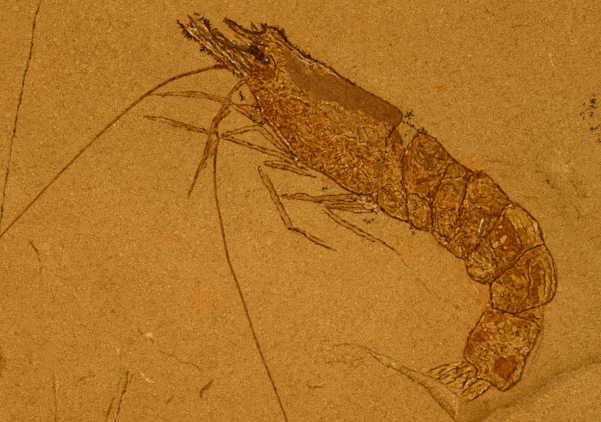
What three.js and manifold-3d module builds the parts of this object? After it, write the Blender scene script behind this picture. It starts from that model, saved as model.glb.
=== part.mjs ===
// A fossil shrimp lying on its side in the split face of a limestone slab.
// Millimetres. +X runs along the slab towards the tail, +Y towards the animal's back,
// +Z out of the face that carries the fossil. The slab lies flat on its underside at z = 0.

import * as THREE from 'three';
import { mergeVertices } from 'three/addons/utils/BufferGeometryUtils.js';
import Module from 'manifold-3d';

const wasm = await Module();
wasm.setup();

// ---- driving dimensions -------------------------------------------------------------------

const SLAB_LENGTH = 150;
const SLAB_WIDTH = 110;
const SLAB_TOP = 10;
const SIDE_LEVELS = [
  [0, 1.9], [0.9, 0.7], [2.2, 0], [2.6, 0.9], [4.3, 0.4], [4.7, 1.3], [6.6, 0.8], [7, 1.7], [9.2, 0.7],
  [SLAB_TOP, 1.1],
];
const LEDGE_DROP = 0.5;
const CRACK_WIDTH = 0.4;
const CRACK_DEPTH = 0.35;

const RIM = 0.35;
const CARAPACE_CROWN = 1.3;
const PLEONITE_CROWN = 1.2;
const TAIL_CROWN = 0.55;
const HEAD_CROWN = 0.8;
const EYE_HEIGHT = 0.9;
const TOOTH_HEIGHT = 0.45;
const LEG_HEIGHT = 0.4;
const ANTENNA_HEIGHT = 0.3;

const STONE = '#bd8233';
const SHELL = '#a8640f';
const DARK_SHELL = '#7a3c10';
const LIMB = '#94540f';
const EYE_BLACK = '#2e1b10';

// ---- shared helpers -----------------------------------------------------------------------

function curveThrough(points) {
  const places = points.map(([x, y]) => new THREE.Vector3(x, y, 0));
  return new THREE.CatmullRomCurve3(places, false, 'centripetal');
}

function sampleList(values, t) {
  const place = t * (values.length - 1);
  const index = Math.min(Math.floor(place), values.length - 2);
  return THREE.MathUtils.lerp(values[index], values[index + 1], place - index);
}

function signedVolume(positions, triangles) {
  const a = new THREE.Vector3();
  const b = new THREE.Vector3();
  const c = new THREE.Vector3();
  let total = 0;
  for (let i = 0; i < triangles.length; i += 3) {
    a.fromArray(positions, triangles[i] * 3);
    b.fromArray(positions, triangles[i + 1] * 3);
    c.fromArray(positions, triangles[i + 2] * 3);
    total += a.dot(b.cross(c)) / 6;
  }
  return total;
}

function solid(positions, triangles) {
  if (signedVolume(positions, triangles) < 0) {
    for (let i = 0; i < triangles.length; i += 3) {
      const swap = triangles[i + 1];
      triangles[i + 1] = triangles[i + 2];
      triangles[i + 2] = swap;
    }
  }
  const geometry = new THREE.BufferGeometry();
  geometry.setAttribute('position', new THREE.Float32BufferAttribute(positions, 3));
  geometry.setIndex(triangles);
  return geometry;
}

function toManifold(source) {
  const bare = source.clone();
  bare.deleteAttribute('normal');
  bare.deleteAttribute('uv');
  const welded = mergeVertices(bare, 1e-4);
  return new wasm.Manifold(new wasm.Mesh({
    numProp: 3,
    vertProperties: new Float32Array(welded.attributes.position.array),
    triVerts: new Uint32Array(welded.index.array),
  }));
}

function fromManifold(body) {
  const mesh = body.getMesh();
  const geometry = new THREE.BufferGeometry();
  geometry.setAttribute('position', new THREE.Float32BufferAttribute(mesh.vertProperties, 3));
  geometry.setIndex(Array.from(mesh.triVerts));
  return geometry;
}

function joined(first, ...others) {
  let body = toManifold(first);
  for (const other of others) {
    body = body.add(toManifold(other));
  }
  return fromManifold(body);
}

function carved(first, ...cutters) {
  let body = toManifold(first);
  for (const cutter of cutters) {
    body = body.subtract(toManifold(cutter));
  }
  return fromManifold(body);
}

// The end of a loft, cut into triangles in the plane that shows most of it, in the row's own turn.
function capTriangles(row) {
  const views = [[1, 2], [2, 0], [0, 1]].map(([first, second]) => (
    row.map((point) => new THREE.Vector2(point[first], point[second]))
  ));
  views.sort((a, b) => Math.abs(THREE.ShapeUtils.area(b)) - Math.abs(THREE.ShapeUtils.area(a)));
  const [contour] = views;
  const turn = Math.sign(THREE.ShapeUtils.area(contour));
  return THREE.ShapeUtils.triangulateShape(contour, []).map(([a, b, c]) => {
    const corner = [contour[a], contour[b], contour[c]];
    return Math.sign(THREE.ShapeUtils.area(corner)) === turn ? [a, b, c] : [a, c, b];
  });
}

// Rows of points with the same count, closed round each row and capped at both ends.
function loft(rows) {
  const count = rows[0].length;
  const positions = rows.flat(2);
  const triangles = [];
  for (let row = 0; row < rows.length - 1; row += 1) {
    for (let k = 0; k < count; k += 1) {
      const a = row * count + k;
      const b = row * count + ((k + 1) % count);
      triangles.push(a, b, b + count, a, b + count, a + count);
    }
  }
  const last = (rows.length - 1) * count;
  for (const [a, b, c] of capTriangles(rows[0])) triangles.push(a, c, b);
  for (const [a, b, c] of capTriangles(rows.at(-1))) triangles.push(last + a, last + b, last + c);
  return solid(positions, triangles);
}

// ---- plates: a patch between four edges, resting flat on the slab -------------------------

// u runs from the front edge to the rear edge, v from the back (dorsal) to the belly (ventral).
function patchPoint(edges, u, v) {
  const back = edges.dorsal.getPointAt(u);
  const belly = edges.ventral.getPointAt(u);
  const front = edges.front.getPointAt(v);
  const rear = edges.rear.getPointAt(v);
  const point = new THREE.Vector3();
  point.addScaledVector(back, 1 - v).addScaledVector(belly, v);
  point.addScaledVector(front, 1 - u).addScaledVector(rear, u);
  point.addScaledVector(edges.dorsal.getPointAt(0), -(1 - u) * (1 - v));
  point.addScaledVector(edges.dorsal.getPointAt(1), -u * (1 - v));
  point.addScaledVector(edges.ventral.getPointAt(0), -(1 - u) * v);
  point.addScaledVector(edges.ventral.getPointAt(1), -u * v);
  return point;
}

function plate({ dorsal, ventral, front, rear, along, across, rise, trim = [0, 1] }) {
  const edges = {
    dorsal: curveThrough(dorsal),
    ventral: curveThrough(ventral),
    front: curveThrough(front),
    rear: curveThrough(rear),
  };
  const columns = across + 1;
  const topCount = (along + 1) * columns;
  const tops = [];
  const floors = [];
  for (let i = 0; i <= along; i += 1) {
    for (let j = 0; j <= across; j += 1) {
      const u = i / along;
      const v = j / across;
      const place = patchPoint(edges, THREE.MathUtils.lerp(trim[0], trim[1], u), v);
      tops.push(place.x, place.y, SLAB_TOP + rise(u, v));
      floors.push(place.x, place.y, SLAB_TOP);
    }
  }
  const triangles = [];
  for (let i = 0; i < along; i += 1) {
    for (let j = 0; j < across; j += 1) {
      const a = i * columns + j;
      const b = a + columns;
      triangles.push(a, b, b + 1, a, b + 1, a + 1);
      triangles.push(topCount + a, topCount + b + 1, topCount + b);
      triangles.push(topCount + a, topCount + a + 1, topCount + b + 1);
    }
  }
  const rim = [];
  for (let i = 0; i < along; i += 1) rim.push(i * columns);
  for (let j = 0; j < across; j += 1) rim.push(along * columns + j);
  for (let i = along; i > 0; i -= 1) rim.push(i * columns + across);
  for (let j = across; j > 0; j -= 1) rim.push(j);
  rim.forEach((a, k) => {
    const b = rim[(k + 1) % rim.length];
    triangles.push(a, topCount + b, b, a, topCount + a, topCount + b);
  });
  return solid(tops.concat(floors), triangles);
}

function dome(t) {
  return Math.sqrt(1 - Math.abs(2 * t - 1) ** 3);
}

function wrinkle(u, v) {
  return Math.sin(9.1 * u + 4.3 * v) * Math.sin(17.7 * v - 6.1 * u + 1.3);
}

// A body ring: tucked under its neighbour in front, highest just before its rear edge.
function ringRise(crown) {
  return (u, v) => {
    const lip = u === 0 || u === 1 ? 0.35 : 1;
    const lean = 0.68 + 0.32 * u;
    return RIM + (crown - RIM) * dome(v) * lip * lean + 0.07 * wrinkle(u, v) * dome(v) * lip;
  };
}

// The carapace: a smooth back above, crumpled and sagging towards the belly.
function carapaceRise(u, v) {
  const lip = u === 0 || u === 1 ? 0.4 : 1;
  const crumple = v > 0.36 ? 0.13 : 0.02;
  return RIM + (CARAPACE_CROWN - RIM) * dome(v) * lip + crumple * wrinkle(3 * u, 2 * v) * dome(v);
}

// Stiff rays with furrows between them, running along the blade.
function rayRise(crown, rays) {
  return (u, v) => {
    const ray = Math.abs(Math.sin(Math.PI * rays * v));
    return RIM * 0.7 + (crown - RIM) * (0.35 + 0.65 * ray) * (0.5 + 0.5 * u);
  };
}

// A blade of the tail fan, thinning out towards its tip.
function bladeRise(u, v) {
  return RIM * 0.7 + (TAIL_CROWN - RIM * 0.7) * dome(v) * (1 - 0.6 * u);
}

// ---- ribbons: legs and antennae pressed flat ----------------------------------------------

const LEG_PROFILE = [[-1, 0.4], [-0.6, 1], [0, 0.72], [0.6, 1], [1, 0.4]];
const WHIP_PROFILE = [[-1, 0.3], [0, 1], [1, 0.3]];

function ribbon({ path, widths, steps, height = LEG_HEIGHT, profile = LEG_PROFILE }) {
  const line = curveThrough(path);
  const rows = [];
  for (let i = 0; i <= steps; i += 1) {
    const t = i / steps;
    const place = line.getPointAt(t);
    const heading = line.getTangentAt(t);
    const half = sampleList(widths, t) / 2;
    const at = (side, z) => [place.x - heading.y * side * half, place.y + heading.x * side * half, z];
    const row = [at(-1, SLAB_TOP)];
    for (const [side, share] of profile) {
      row.push(at(side, SLAB_TOP + height * share));
    }
    row.push(at(1, SLAB_TOP));
    rows.push(row);
  }
  return loft(rows);
}

// ---- slab ---------------------------------------------------------------------------------

const SLAB_CORNERS = [
  [-75, -36], [-71, -50], [-47, -55], [-18, -53.4], [9, -54.8], [38, -52.8], [60, -54], [72, -45],
  [75, -19], [73.4, 7], [74.6, 31], [66, 49], [41, 53.6], [12, 55], [-22, 53.8], [-49, 54.6],
  [-68, 50], [-74.6, 33], [-73.2, 9], [-74.4, -14],
];
const SIDE_POINTS = 3;

// One level of the broken side: the outline pulled in, a little more where the edge is chipped.
function sideLevel([z, step], level) {
  const ring = [];
  SLAB_CORNERS.forEach(([x, y], corner) => {
    const [nextX, nextY] = SLAB_CORNERS[(corner + 1) % SLAB_CORNERS.length];
    for (let k = 0; k < SIDE_POINTS; k += 1) {
      const t = k / SIDE_POINTS;
      const turn = corner + t;
      const chip = 0.5 + 0.5 * Math.sin(2.3 * turn + 0.8 * level) * Math.cos(1.1 * turn - level);
      const keep = 1 - step * (0.4 + chip) / 60;
      ring.push([(x + (nextX - x) * t) * keep, (y + (nextY - y) * t) * keep, z]);
    }
  });
  return ring;
}

// Where the split face steps down behind the tail: its lip, its foot and where it levels out.
const LEDGE_LIP = [
  [7.1, -26.8], [13.3, -27.4], [19.7, -30.6], [24.7, -33], [27.9, -34.8], [31.1, -37.2],
  [32.5, -39.4], [33.1, -42], [35.7, -41.6], [41.5, -39], [45.1, -37.6], [48.7, -35],
  [51.9, -33], [59.9, -30.2], [67.9, -29],
];
const LEDGE_FOOT = [
  [7.5, -27.4], [13.5, -28.7], [19.3, -32.2], [23.9, -35.2], [26.3, -37.2], [28.7, -39.8],
  [30.7, -42.2], [32.3, -45], [35.9, -44.2], [42.3, -40.6], [45.9, -39], [49.1, -36.8],
  [52.3, -34.4], [59.9, -31], [67.9, -29.6],
];
const LEDGE_OUT = [
  [3.9, -30.2], [6.9, -35.8], [11.9, -41.2], [17.9, -46.8], [21.5, -49.4], [26, -51],
  [29.5, -51.6], [32.3, -51.8], [36.3, -51.6], [44.9, -49], [48.9, -47.4], [52.3, -45],
  [55.9, -42.8], [61, -39.8], [68.5, -32.8],
];
const LEDGE_SHARE = [0.1, 0.4, 0.7, 1, 1, 1, 1, 1, 1, 1, 1, 1, 0.8, 0.5, 0.1];

function ledgeCutter() {
  const rows = LEDGE_LIP.map(([lipX, lipY], k) => {
    const [footX, footY] = LEDGE_FOOT[k];
    const [outX, outY] = LEDGE_OUT[k];
    const drop = LEDGE_DROP * LEDGE_SHARE[k];
    return [
      [lipX, lipY, SLAB_TOP],
      [footX, footY, SLAB_TOP - drop],
      [outX, outY, SLAB_TOP],
      [outX, outY, SLAB_TOP + 1],
      [lipX, lipY, SLAB_TOP + 1],
    ];
  });
  return loft(rows);
}

const CRACK_LINE = [
  [-50, 50], [-52, 42], [-53.4, 34], [-54.2, 30], [-56, 18], [-58, 9], [-60, -3], [-60.8, -8],
];

function crackCutter() {
  const line = curveThrough(CRACK_LINE);
  const rows = [];
  const steps = 12;
  for (let i = 0; i <= steps; i += 1) {
    const place = line.getPointAt(i / steps);
    const heading = line.getTangentAt(i / steps);
    const open = CRACK_WIDTH * (0.3 + 0.7 * Math.sin(Math.PI * i / steps)) / 2;
    const at = (side, z) => [place.x - heading.y * side * open, place.y + heading.x * side * open, z];
    rows.push([
      at(0, SLAB_TOP - CRACK_DEPTH),
      at(1, SLAB_TOP),
      at(1, SLAB_TOP + 1),
      at(-1, SLAB_TOP + 1),
      at(-1, SLAB_TOP),
    ]);
  }
  return loft(rows);
}

function slab() {
  return carved(loft(SIDE_LEVELS.map(sideLevel)), ledgeCutter(), crackCutter());
}

// ---- carapace with rostrum ----------------------------------------------------------------

const CARAPACE_BACK = [
  [-7.3, 36], [-3.9, 35.8], [-2.3, 33.4], [0.2, 31.6], [7.5, 27.2], [13.3, 23.8], [17.5, 21.5], [20.3, 19.6],
];
const CARAPACE_BELLY = [
  [-10.1, 26.2], [-9.2, 23], [-7.8, 19.2], [-4.7, 15.2], [-0.9, 11], [4.5, 7.6], [10.8, 3.6], [13.9, 3],
  [16.5, 0],
];
const CARAPACE_FRONT = [
  [-7.3, 36], [-6.7, 33], [-6.5, 31.4], [-5.1, 29.4], [-5.7, 26.8], [-7.7, 25.8], [-10.1, 26.2],
];
const CARAPACE_REAR = [
  [20.3, 19.6], [20.1, 18], [17.9, 15.2], [17.1, 12.4], [16.1, 8], [16.1, 4.2], [16.5, 0],
];
const ROSTRUM_UPPER = [[-14.9, 37.8], [-14.3, 38.3], [-12.9, 37.2], [-11.3, 36.3], [-9.5, 35.7], [-5.8, 36]];
const ROSTRUM_LOWER = [[-14.9, 37.8], [-14.1, 36.7], [-12.9, 36], [-11.1, 35], [-9.1, 34], [-5.8, 32.9]];
const ROSTRAL_TEETH = [
  [[-9.9, 37.8], [-9.5, 35.4], [-8.1, 35.4]],
  [[-8, 37.6], [-7.6, 35.6], [-6.2, 35.6]],
  [[-3.6, 36.5], [-4.6, 35], [-3, 34]],
];

// A flat-topped tab standing on the slab: the outline as a shape, pushed up.
function tab(points, height) {
  const shape = new THREE.Shape(points.map(([x, y]) => new THREE.Vector2(x, y)));
  const body = new THREE.ExtrudeGeometry(shape, { depth: height, bevelEnabled: false });
  body.translate(0, 0, SLAB_TOP);
  return body;
}

function carapace() {
  const shield = plate({
    dorsal: CARAPACE_BACK,
    ventral: CARAPACE_BELLY,
    front: CARAPACE_FRONT,
    rear: CARAPACE_REAR,
    along: 26,
    across: 13,
    rise: carapaceRise,
    trim: [0, 0.995],
  });
  const rostrum = tab(ROSTRUM_UPPER.concat(ROSTRUM_LOWER.slice(1).reverse()), TOOTH_HEIGHT);
  const teeth = ROSTRAL_TEETH.map((tooth) => tab(tooth, TOOTH_HEIGHT * 0.9));
  return joined(shield, rostrum, ...teeth);
}

// ---- head ---------------------------------------------------------------------------------

const EYE_PARTS = [
  { at: [-9.5, 32.15], across: 0.9 },
  { at: [-8.3, 31.15], across: 0.88 },
  { at: [-7.1, 30.2], across: 0.82 },
];

function eye() {
  const lobes = EYE_PARTS.map(({ at: [x, y], across }) => {
    const lobe = new THREE.SphereGeometry(1, 12, 8);
    lobe.scale(across, across, EYE_HEIGHT * across);
    lobe.translate(x, y, SLAB_TOP);
    return lobe;
  });
  const keep = new THREE.BoxGeometry(10, 10, 4);
  keep.translate(-8, 31, SLAB_TOP + 2);
  return fromManifold(toManifold(joined(...lobes)).intersect(toManifold(keep)));
}

const SCALE_BLADE = {
  dorsal: [[-22.1, 37.6], [-20.1, 35.6], [-17.5, 33.2], [-14.9, 31], [-12.1, 28.8], [-9.9, 27.2]],
  ventral: [[-24.5, 37.9], [-22.5, 35.6], [-20.1, 33.6], [-17.9, 31.8], [-15.7, 30], [-11.4, 26.8]],
  front: [[-22.1, 37.6], [-23.2, 37.2], [-24.5, 37.9]],
  rear: [[-9.9, 27.2], [-11.4, 26.8]],
  along: 12,
  across: 8,
  rise: rayRise(HEAD_CROWN, 2),
};

const ANTENNULES = {
  dorsal: [
    [-18.7, 38], [-16.5, 36], [-14.3, 34.6], [-12.1, 33.2], [-10.7, 31.4], [-8.9, 30], [-7.3, 28.7],
    [-6.1, 28.5],
  ],
  ventral: [[-20.9, 38.6], [-19.3, 36.4], [-17.3, 34], [-14.9, 31.7], [-12.1, 29.5], [-8.1, 26.5]],
  front: [[-18.7, 38], [-19.6, 37.4], [-20.9, 38.6]],
  rear: [[-6.1, 28.5], [-6.5, 27.2], [-8.1, 26.5]],
  along: 13,
  across: 8,
  rise: rayRise(HEAD_CROWN, 3),
};

const LEFT_ANTENNA = {
  path: [
    [-15.3, 28.8], [-18.3, 28.6], [-22.5, 27.4], [-25.1, 26.7], [-28.3, 25], [-32.1, 22.4],
    [-36.1, 19.1], [-46.3, 9.4], [-60.1, -5.1], [-66.1, -11.4], [-72.4, -18.5],
  ],
  widths: [0.8, 0.7, 0.6, 0.5, 0.45, 0.4, 0.4, 0.35],
  height: ANTENNA_HEIGHT,
  profile: WHIP_PROFILE,
  steps: 26,
};

const LOWER_ANTENNA = {
  path: [
    [-17, 11.8], [-17.2, 7.2], [-16.9, 2.5], [-16, -1.6], [-14.4, -10], [-12.5, -15], [-8.5, -27],
    [-5.3, -35.2], [-2.7, -42.2], [0.2, -52.4],
  ],
  widths: [0.45, 0.5, 0.5, 0.45, 0.4, 0.35],
  height: ANTENNA_HEIGHT,
  profile: WHIP_PROFILE,
  steps: 24,
};

// ---- limbs --------------------------------------------------------------------------------

// Two slender limbs pressed on each other so that they now end in one common point.
const LONG_MAXILLIPED = {
  path: [
    [-11.7, 25.6], [-13.5, 24.2], [-14.9, 22.2], [-16.1, 19.8], [-17.3, 17.6], [-18.1, 15.4],
    [-18.7, 13], [-19.5, 10.6], [-20.7, 7.4], [-22.5, 2.6],
  ],
  widths: [0.7, 0.8, 0.8, 0.8, 0.8, 0.9, 0.7, 0.25],
  steps: 16,
};
const SHORT_MAXILLIPED = {
  path: [
    [-14.2, 20.3], [-15.6, 19], [-16.6, 17.6], [-16.9, 16], [-16.6, 14.5], [-17.2, 13.2], [-18.1, 11.6],
    [-19.2, 10.2],
  ],
  widths: [0.8, 0.75, 0.75, 0.75, 0.75, 0.75, 0.6],
  steps: 12,
};

const LIMBS = {
  leg_1_outer: {
    path: [[-30.3, 23.2], [-26.5, 23.45], [-22.1, 23.4], [-18.1, 22.8], [-15.9, 22.1]],
    widths: [0.2, 0.5, 0.8, 0.9, 0.9],
    steps: 7,
  },
  leg_2_outer: {
    path: [[-31.7, 18.9], [-28.1, 18.4], [-24.1, 17.5], [-21.1, 16.4], [-18.9, 15.7]],
    widths: [0.2, 0.6, 0.8, 0.8, 0.6],
    steps: 7,
  },
  leg_3: {
    path: [[-15.9, 15.25], [-14.1, 15.6], [-11.5, 16.2], [-8.5, 16.5], [-6.6, 15], [-4.7, 13.4], [-3.1, 12]],
    widths: [0.5, 0.7, 0.75, 0.9, 0.85, 0.8],
    steps: 13,
  },
  leg_4: {
    path: [[-14.5, 14.3], [-13.1, 14.05], [-8.9, 12.6], [-5.1, 11.4], [-2.1, 10.2], [0.5, 9]],
    widths: [0.7, 0.9, 0.95, 0.95, 0.8],
    steps: 7,
  },
  leg_5: {
    path: [[-7.2, 9.4], [-5.3, 9.3], [-2.5, 8.8], [-0.1, 7.8], [2.9, 6.8]],
    widths: [0.7, 0.8, 0.9, 0.8, 0.4],
    steps: 7,
  },
  leg_6: {
    path: [[-8.2, 8.3], [-6.5, 5.4], [-4.7, 2.2], [-3.5, -1], [-2.3, -3.4], [0.5, -4.5], [3.5, -6.2], [7.1, -7.9]],
    widths: [0.8, 0.85, 0.9, 1.1, 1.2, 1, 0.9, 0.3],
    steps: 15,
  },
  leg_7: {
    path: [[-3.8, 2.8], [-0.9, 2.8], [2.5, 2.6], [6.9, 2.6], [10.5, 2.85]],
    widths: [0.7, 0.9, 0.85, 0.85, 0.8],
    steps: 6,
  },
  leg_8: {
    path: [[2.5, 1.65], [6.9, 1.65], [10.9, 1.6], [13.7, 1.5]],
    widths: [0.4, 0.55, 0.55, 0.5],
    steps: 4,
  },
  leg_9: {
    path: [[6.3, 0.75], [8.9, 0.65], [12.5, 0.55], [14.7, 0.5]],
    widths: [0.6, 0.7, 0.7, 0.6],
    steps: 4,
  },
  leg_10: {
    path: [[4.5, 0.5], [7, -1.4], [10.4, -3.4], [13.9, -5.3], [15.6, -6], [17.5, -7], [18.9, -7.8]],
    widths: [0.9, 1, 1, 0.9, 0.7, 0.5, 0.3],
    steps: 9,
  },
};

const LEG_BASE = {
  dorsal: [[-14.1, 21.9], [-12.7, 21.5], [-11.1, 21.2], [-8.9, 21]],
  ventral: [[-13.4, 20.7], [-12.1, 19.8], [-10.3, 18.4], [-8.5, 17.2]],
  front: [[-14.1, 21.9], [-13.4, 20.7]],
  rear: [[-8.9, 21], [-8.5, 19.4], [-7.7, 18], [-8.5, 17.2]],
  along: 6,
  across: 4,
  rise: (u, v) => RIM * 0.8 + 0.15 * dome(v),
};

// ---- abdomen ------------------------------------------------------------------------------

const SEAMS = {
  behindCarapace: [
    [20.3, 18], [19.1, 16.6], [18, 15], [17.3, 12.4], [16.3, 8], [16.3, 4.2], [16.6, 0],
  ],
  first: [
    [23.7, 15.8], [22.5, 14.2], [20.9, 11.8], [20.4, 9.8], [20.5, 6.2], [21.3, 3.2], [21.2, 0.6], [21.7, -2],
  ],
  second: [[34.7, 7.6], [33.5, 6], [32.9, 3], [31.9, 0.4], [32.1, -2.8], [31.7, -4], [29.1, -7.6]],
  third: [[42.3, 1.6], [40.7, 0.6], [39.9, -1], [38.4, -2.6], [37.5, -4.8], [35.5, -7.4], [33.1, -9.6]],
  fourth: [[48.6, -6.7], [47.1, -7.2], [44.7, -8.2], [42.7, -10.8], [40.9, -12], [38.7, -14], [37.9, -14.6]],
  fifth: [[48.1, -18.8], [45.5, -19.7], [43.1, -20.6], [40.5, -20], [38.7, -19.4], [37.1, -19.6]],
  tail: [[43.7, -33.6], [42.3, -35], [40.5, -35.9], [39.3, -35.4], [37.3, -33.8], [35.3, -33.4]],
};

const PLEONITES = [
  {
    dorsal: [[20.3, 18], [22.3, 16.9], [23.7, 15.8]],
    ventral: [[16.6, 0], [17.9, -0.9], [19.9, -1.6], [21.7, -2]],
    front: SEAMS.behindCarapace,
    rear: SEAMS.first,
    along: 6,
    trim: [0.04, 0.96],
  },
  {
    dorsal: [[23.7, 15.8], [25.9, 14.9], [28.1, 13], [30.2, 10.6], [32.3, 9.1], [34.7, 7.6]],
    ventral: [[21.7, -2], [22.9, -3.4], [25.9, -4], [27.5, -6], [29.1, -7.6]],
    front: SEAMS.first,
    rear: SEAMS.second,
    along: 10,
    trim: [0.014, 0.986],
  },
  {
    dorsal: [[34.7, 7.6], [37.1, 7.2], [39.3, 5.3], [41.1, 3], [42.3, 1.6]],
    ventral: [[29.1, -7.6], [30.2, -8.3], [31.3, -9.2], [33.1, -9.6]],
    front: SEAMS.second,
    rear: SEAMS.third,
    along: 8,
    trim: [0.022, 0.978],
  },
  {
    dorsal: [[42.3, 1.6], [44.1, 0.6], [47.1, -2], [48.1, -4.6], [48.6, -6.7]],
    ventral: [[33.1, -9.6], [33.3, -11.4], [33.9, -13], [35.5, -14.1], [37.9, -14.6]],
    front: SEAMS.third,
    rear: SEAMS.fourth,
    along: 8,
    trim: [0.02, 0.98],
  },
  {
    dorsal: [[48.6, -6.7], [49.9, -8.6], [50.9, -11.4], [51, -14.8], [50.3, -17.4], [48.1, -18.8]],
    ventral: [[37.9, -14.6], [38.1, -16.4], [37.7, -18], [37.1, -19.6]],
    front: SEAMS.fourth,
    rear: SEAMS.fifth,
    along: 9,
    trim: [0.022, 0.978],
  },
  {
    dorsal: [
      [48.1, -18.8], [48.3, -21.2], [47.9, -23.6], [46.7, -26.4], [45.3, -28.8], [44.5, -31.2], [43.7, -33.6],
    ],
    ventral: [
      [37.1, -19.6], [35.5, -22.2], [33.7, -25], [32.9, -27.8], [33.1, -29.6], [35.2, -31.4], [35.3, -33.4],
    ],
    front: SEAMS.fifth,
    rear: SEAMS.tail,
    along: 11,
    trim: [0.012, 1],
  },
];

// ---- tail fan -----------------------------------------------------------------------------

const TAIL_BLADES = {
  uropod_upper_outer: {
    dorsal: [[32.7, -30.2], [29.9, -30.6], [27.5, -31.3], [25.3, -32.3]],
    ventral: [[33.6, -30.9], [31.1, -31.4], [29.1, -32.4], [27.3, -33.5]],
  },
  uropod_upper_inner: {
    dorsal: [[33.9, -31.3], [31.3, -31.8], [29.3, -32.8], [27.7, -33.8]],
    ventral: [[34.5, -31.9], [31.9, -32.8], [30.6, -33.8], [28.9, -34.5]],
  },
  telson: {
    dorsal: [[34.8, -32.2], [32.3, -33.1], [30.8, -34.2], [29.8, -35]],
    ventral: [[34.8, -32.8], [33.3, -33.6], [32.3, -35.4]],
  },
  uropod_lower_inner: {
    dorsal: [[34.9, -33.2], [33.6, -34], [32.8, -35.5]],
    ventral: [[35.1, -34], [33.8, -35], [32.1, -36.5]],
  },
  uropod_lower_outer: {
    dorsal: [[35.6, -34.3], [34.1, -35.6], [32.5, -37.1]],
    ventral: [[37.7, -35], [36.3, -36.4], [34.5, -37.5], [33.2, -38]],
  },
};

// ---- assembly -----------------------------------------------------------------------------

const group = new THREE.Group();
group.name = 'fossil_shrimp';

function addPiece(name, geometry, color, roughness) {
  const material = new THREE.MeshStandardMaterial({ color, roughness, metalness: 0 });
  const mesh = new THREE.Mesh(geometry, material);
  mesh.name = name;
  group.add(mesh);
}

addPiece('slab', slab(), STONE, 0.92);
addPiece('carapace', carapace(), SHELL, 0.6);
addPiece('eye', eye(), EYE_BLACK, 0.5);
addPiece('antennal_scale', plate(SCALE_BLADE), DARK_SHELL, 0.65);
addPiece('antennules', plate(ANTENNULES), DARK_SHELL, 0.65);
addPiece('antenna_left', ribbon(LEFT_ANTENNA), LIMB, 0.7);
addPiece('antenna_lower', ribbon(LOWER_ANTENNA), LIMB, 0.7);
addPiece('maxillipeds', joined(ribbon(LONG_MAXILLIPED), ribbon(SHORT_MAXILLIPED)), LIMB, 0.7);
addPiece('leg_1_base', plate(LEG_BASE), LIMB, 0.7);
for (const [name, limb] of Object.entries(LIMBS)) {
  addPiece(name, ribbon(limb), LIMB, 0.7);
}
PLEONITES.forEach((ring, index) => {
  const geometry = plate({ across: 10, rise: ringRise(PLEONITE_CROWN), ...ring });
  addPiece(`pleonite_${index + 1}`, geometry, SHELL, 0.6);
});
for (const [name, blade] of Object.entries(TAIL_BLADES)) {
  const front = [blade.dorsal[0], blade.ventral[0]];
  const rear = [blade.dorsal.at(-1), blade.ventral.at(-1)];
  addPiece(name, plate({ ...blade, front, rear, along: 6, across: 4, rise: bladeRise }), SHELL, 0.65);
}

export default group;
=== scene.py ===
import math
import bpy
import numpy as np
from mathutils.geometry import tessellate_polygon
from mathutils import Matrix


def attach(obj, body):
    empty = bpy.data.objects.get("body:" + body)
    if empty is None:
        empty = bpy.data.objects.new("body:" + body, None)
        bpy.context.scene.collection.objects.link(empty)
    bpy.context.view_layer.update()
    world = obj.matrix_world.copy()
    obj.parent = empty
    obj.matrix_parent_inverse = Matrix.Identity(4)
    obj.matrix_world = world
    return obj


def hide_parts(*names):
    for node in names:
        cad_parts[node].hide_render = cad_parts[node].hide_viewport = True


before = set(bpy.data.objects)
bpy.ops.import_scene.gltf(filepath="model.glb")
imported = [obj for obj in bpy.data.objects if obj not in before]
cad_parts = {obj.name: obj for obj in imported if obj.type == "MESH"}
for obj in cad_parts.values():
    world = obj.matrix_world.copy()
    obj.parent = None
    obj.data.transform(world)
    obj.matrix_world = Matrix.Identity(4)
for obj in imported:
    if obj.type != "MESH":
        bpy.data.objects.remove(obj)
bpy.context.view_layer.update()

# ---- the drawing sheet ----------------------------------------------------------------------
# Every mark is placed on a sheet of drawing units that lies on the split face of the slab.
# One unit is 0.2 mm. u runs right, v runs down, and (300.5, 211) is the middle of the slab.

UNIT = 0.2
MID_U, MID_V = 300.5, 211.0
STEP = 0.5
U0, V0 = -76.0, -65.0
NU, NV = 1505, 1105
SLAB_TOP = 10.0
MM = 0.001

U, V = np.meshgrid(
    (U0 + STEP * np.arange(NU)).astype(np.float32),
    (V0 + STEP * np.arange(NV)).astype(np.float32),
)


def to_mm(u, v):
    """Sheet units to millimetres, x and y."""
    return (np.asarray(u) - MID_U) * UNIT, (MID_V - np.asarray(v)) * UNIT


def smoothstep(x, lo=0.0, hi=1.0):
    """0 below lo, 1 above hi, a smooth rise between."""
    t = np.clip((x - lo) / (hi - lo), 0, 1)
    return t * t * (3 - 2 * t)


# Where the numbers that pick each family's random pattern start.
SEAM_SEED = 60
SPOT_SEED = 90
RIM_SEED = 120
BANK_SEED = 140
MARK_SEED = 160
SPECK_SEED = 200
LIMB_SEED = 300
RAY_SEED = 350
RIPPLE_SEED = 500
CRACK_SEED = 560
CRUMB_SEED = 600
FIBRE_SEED = 610

LATTICE = 256


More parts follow.
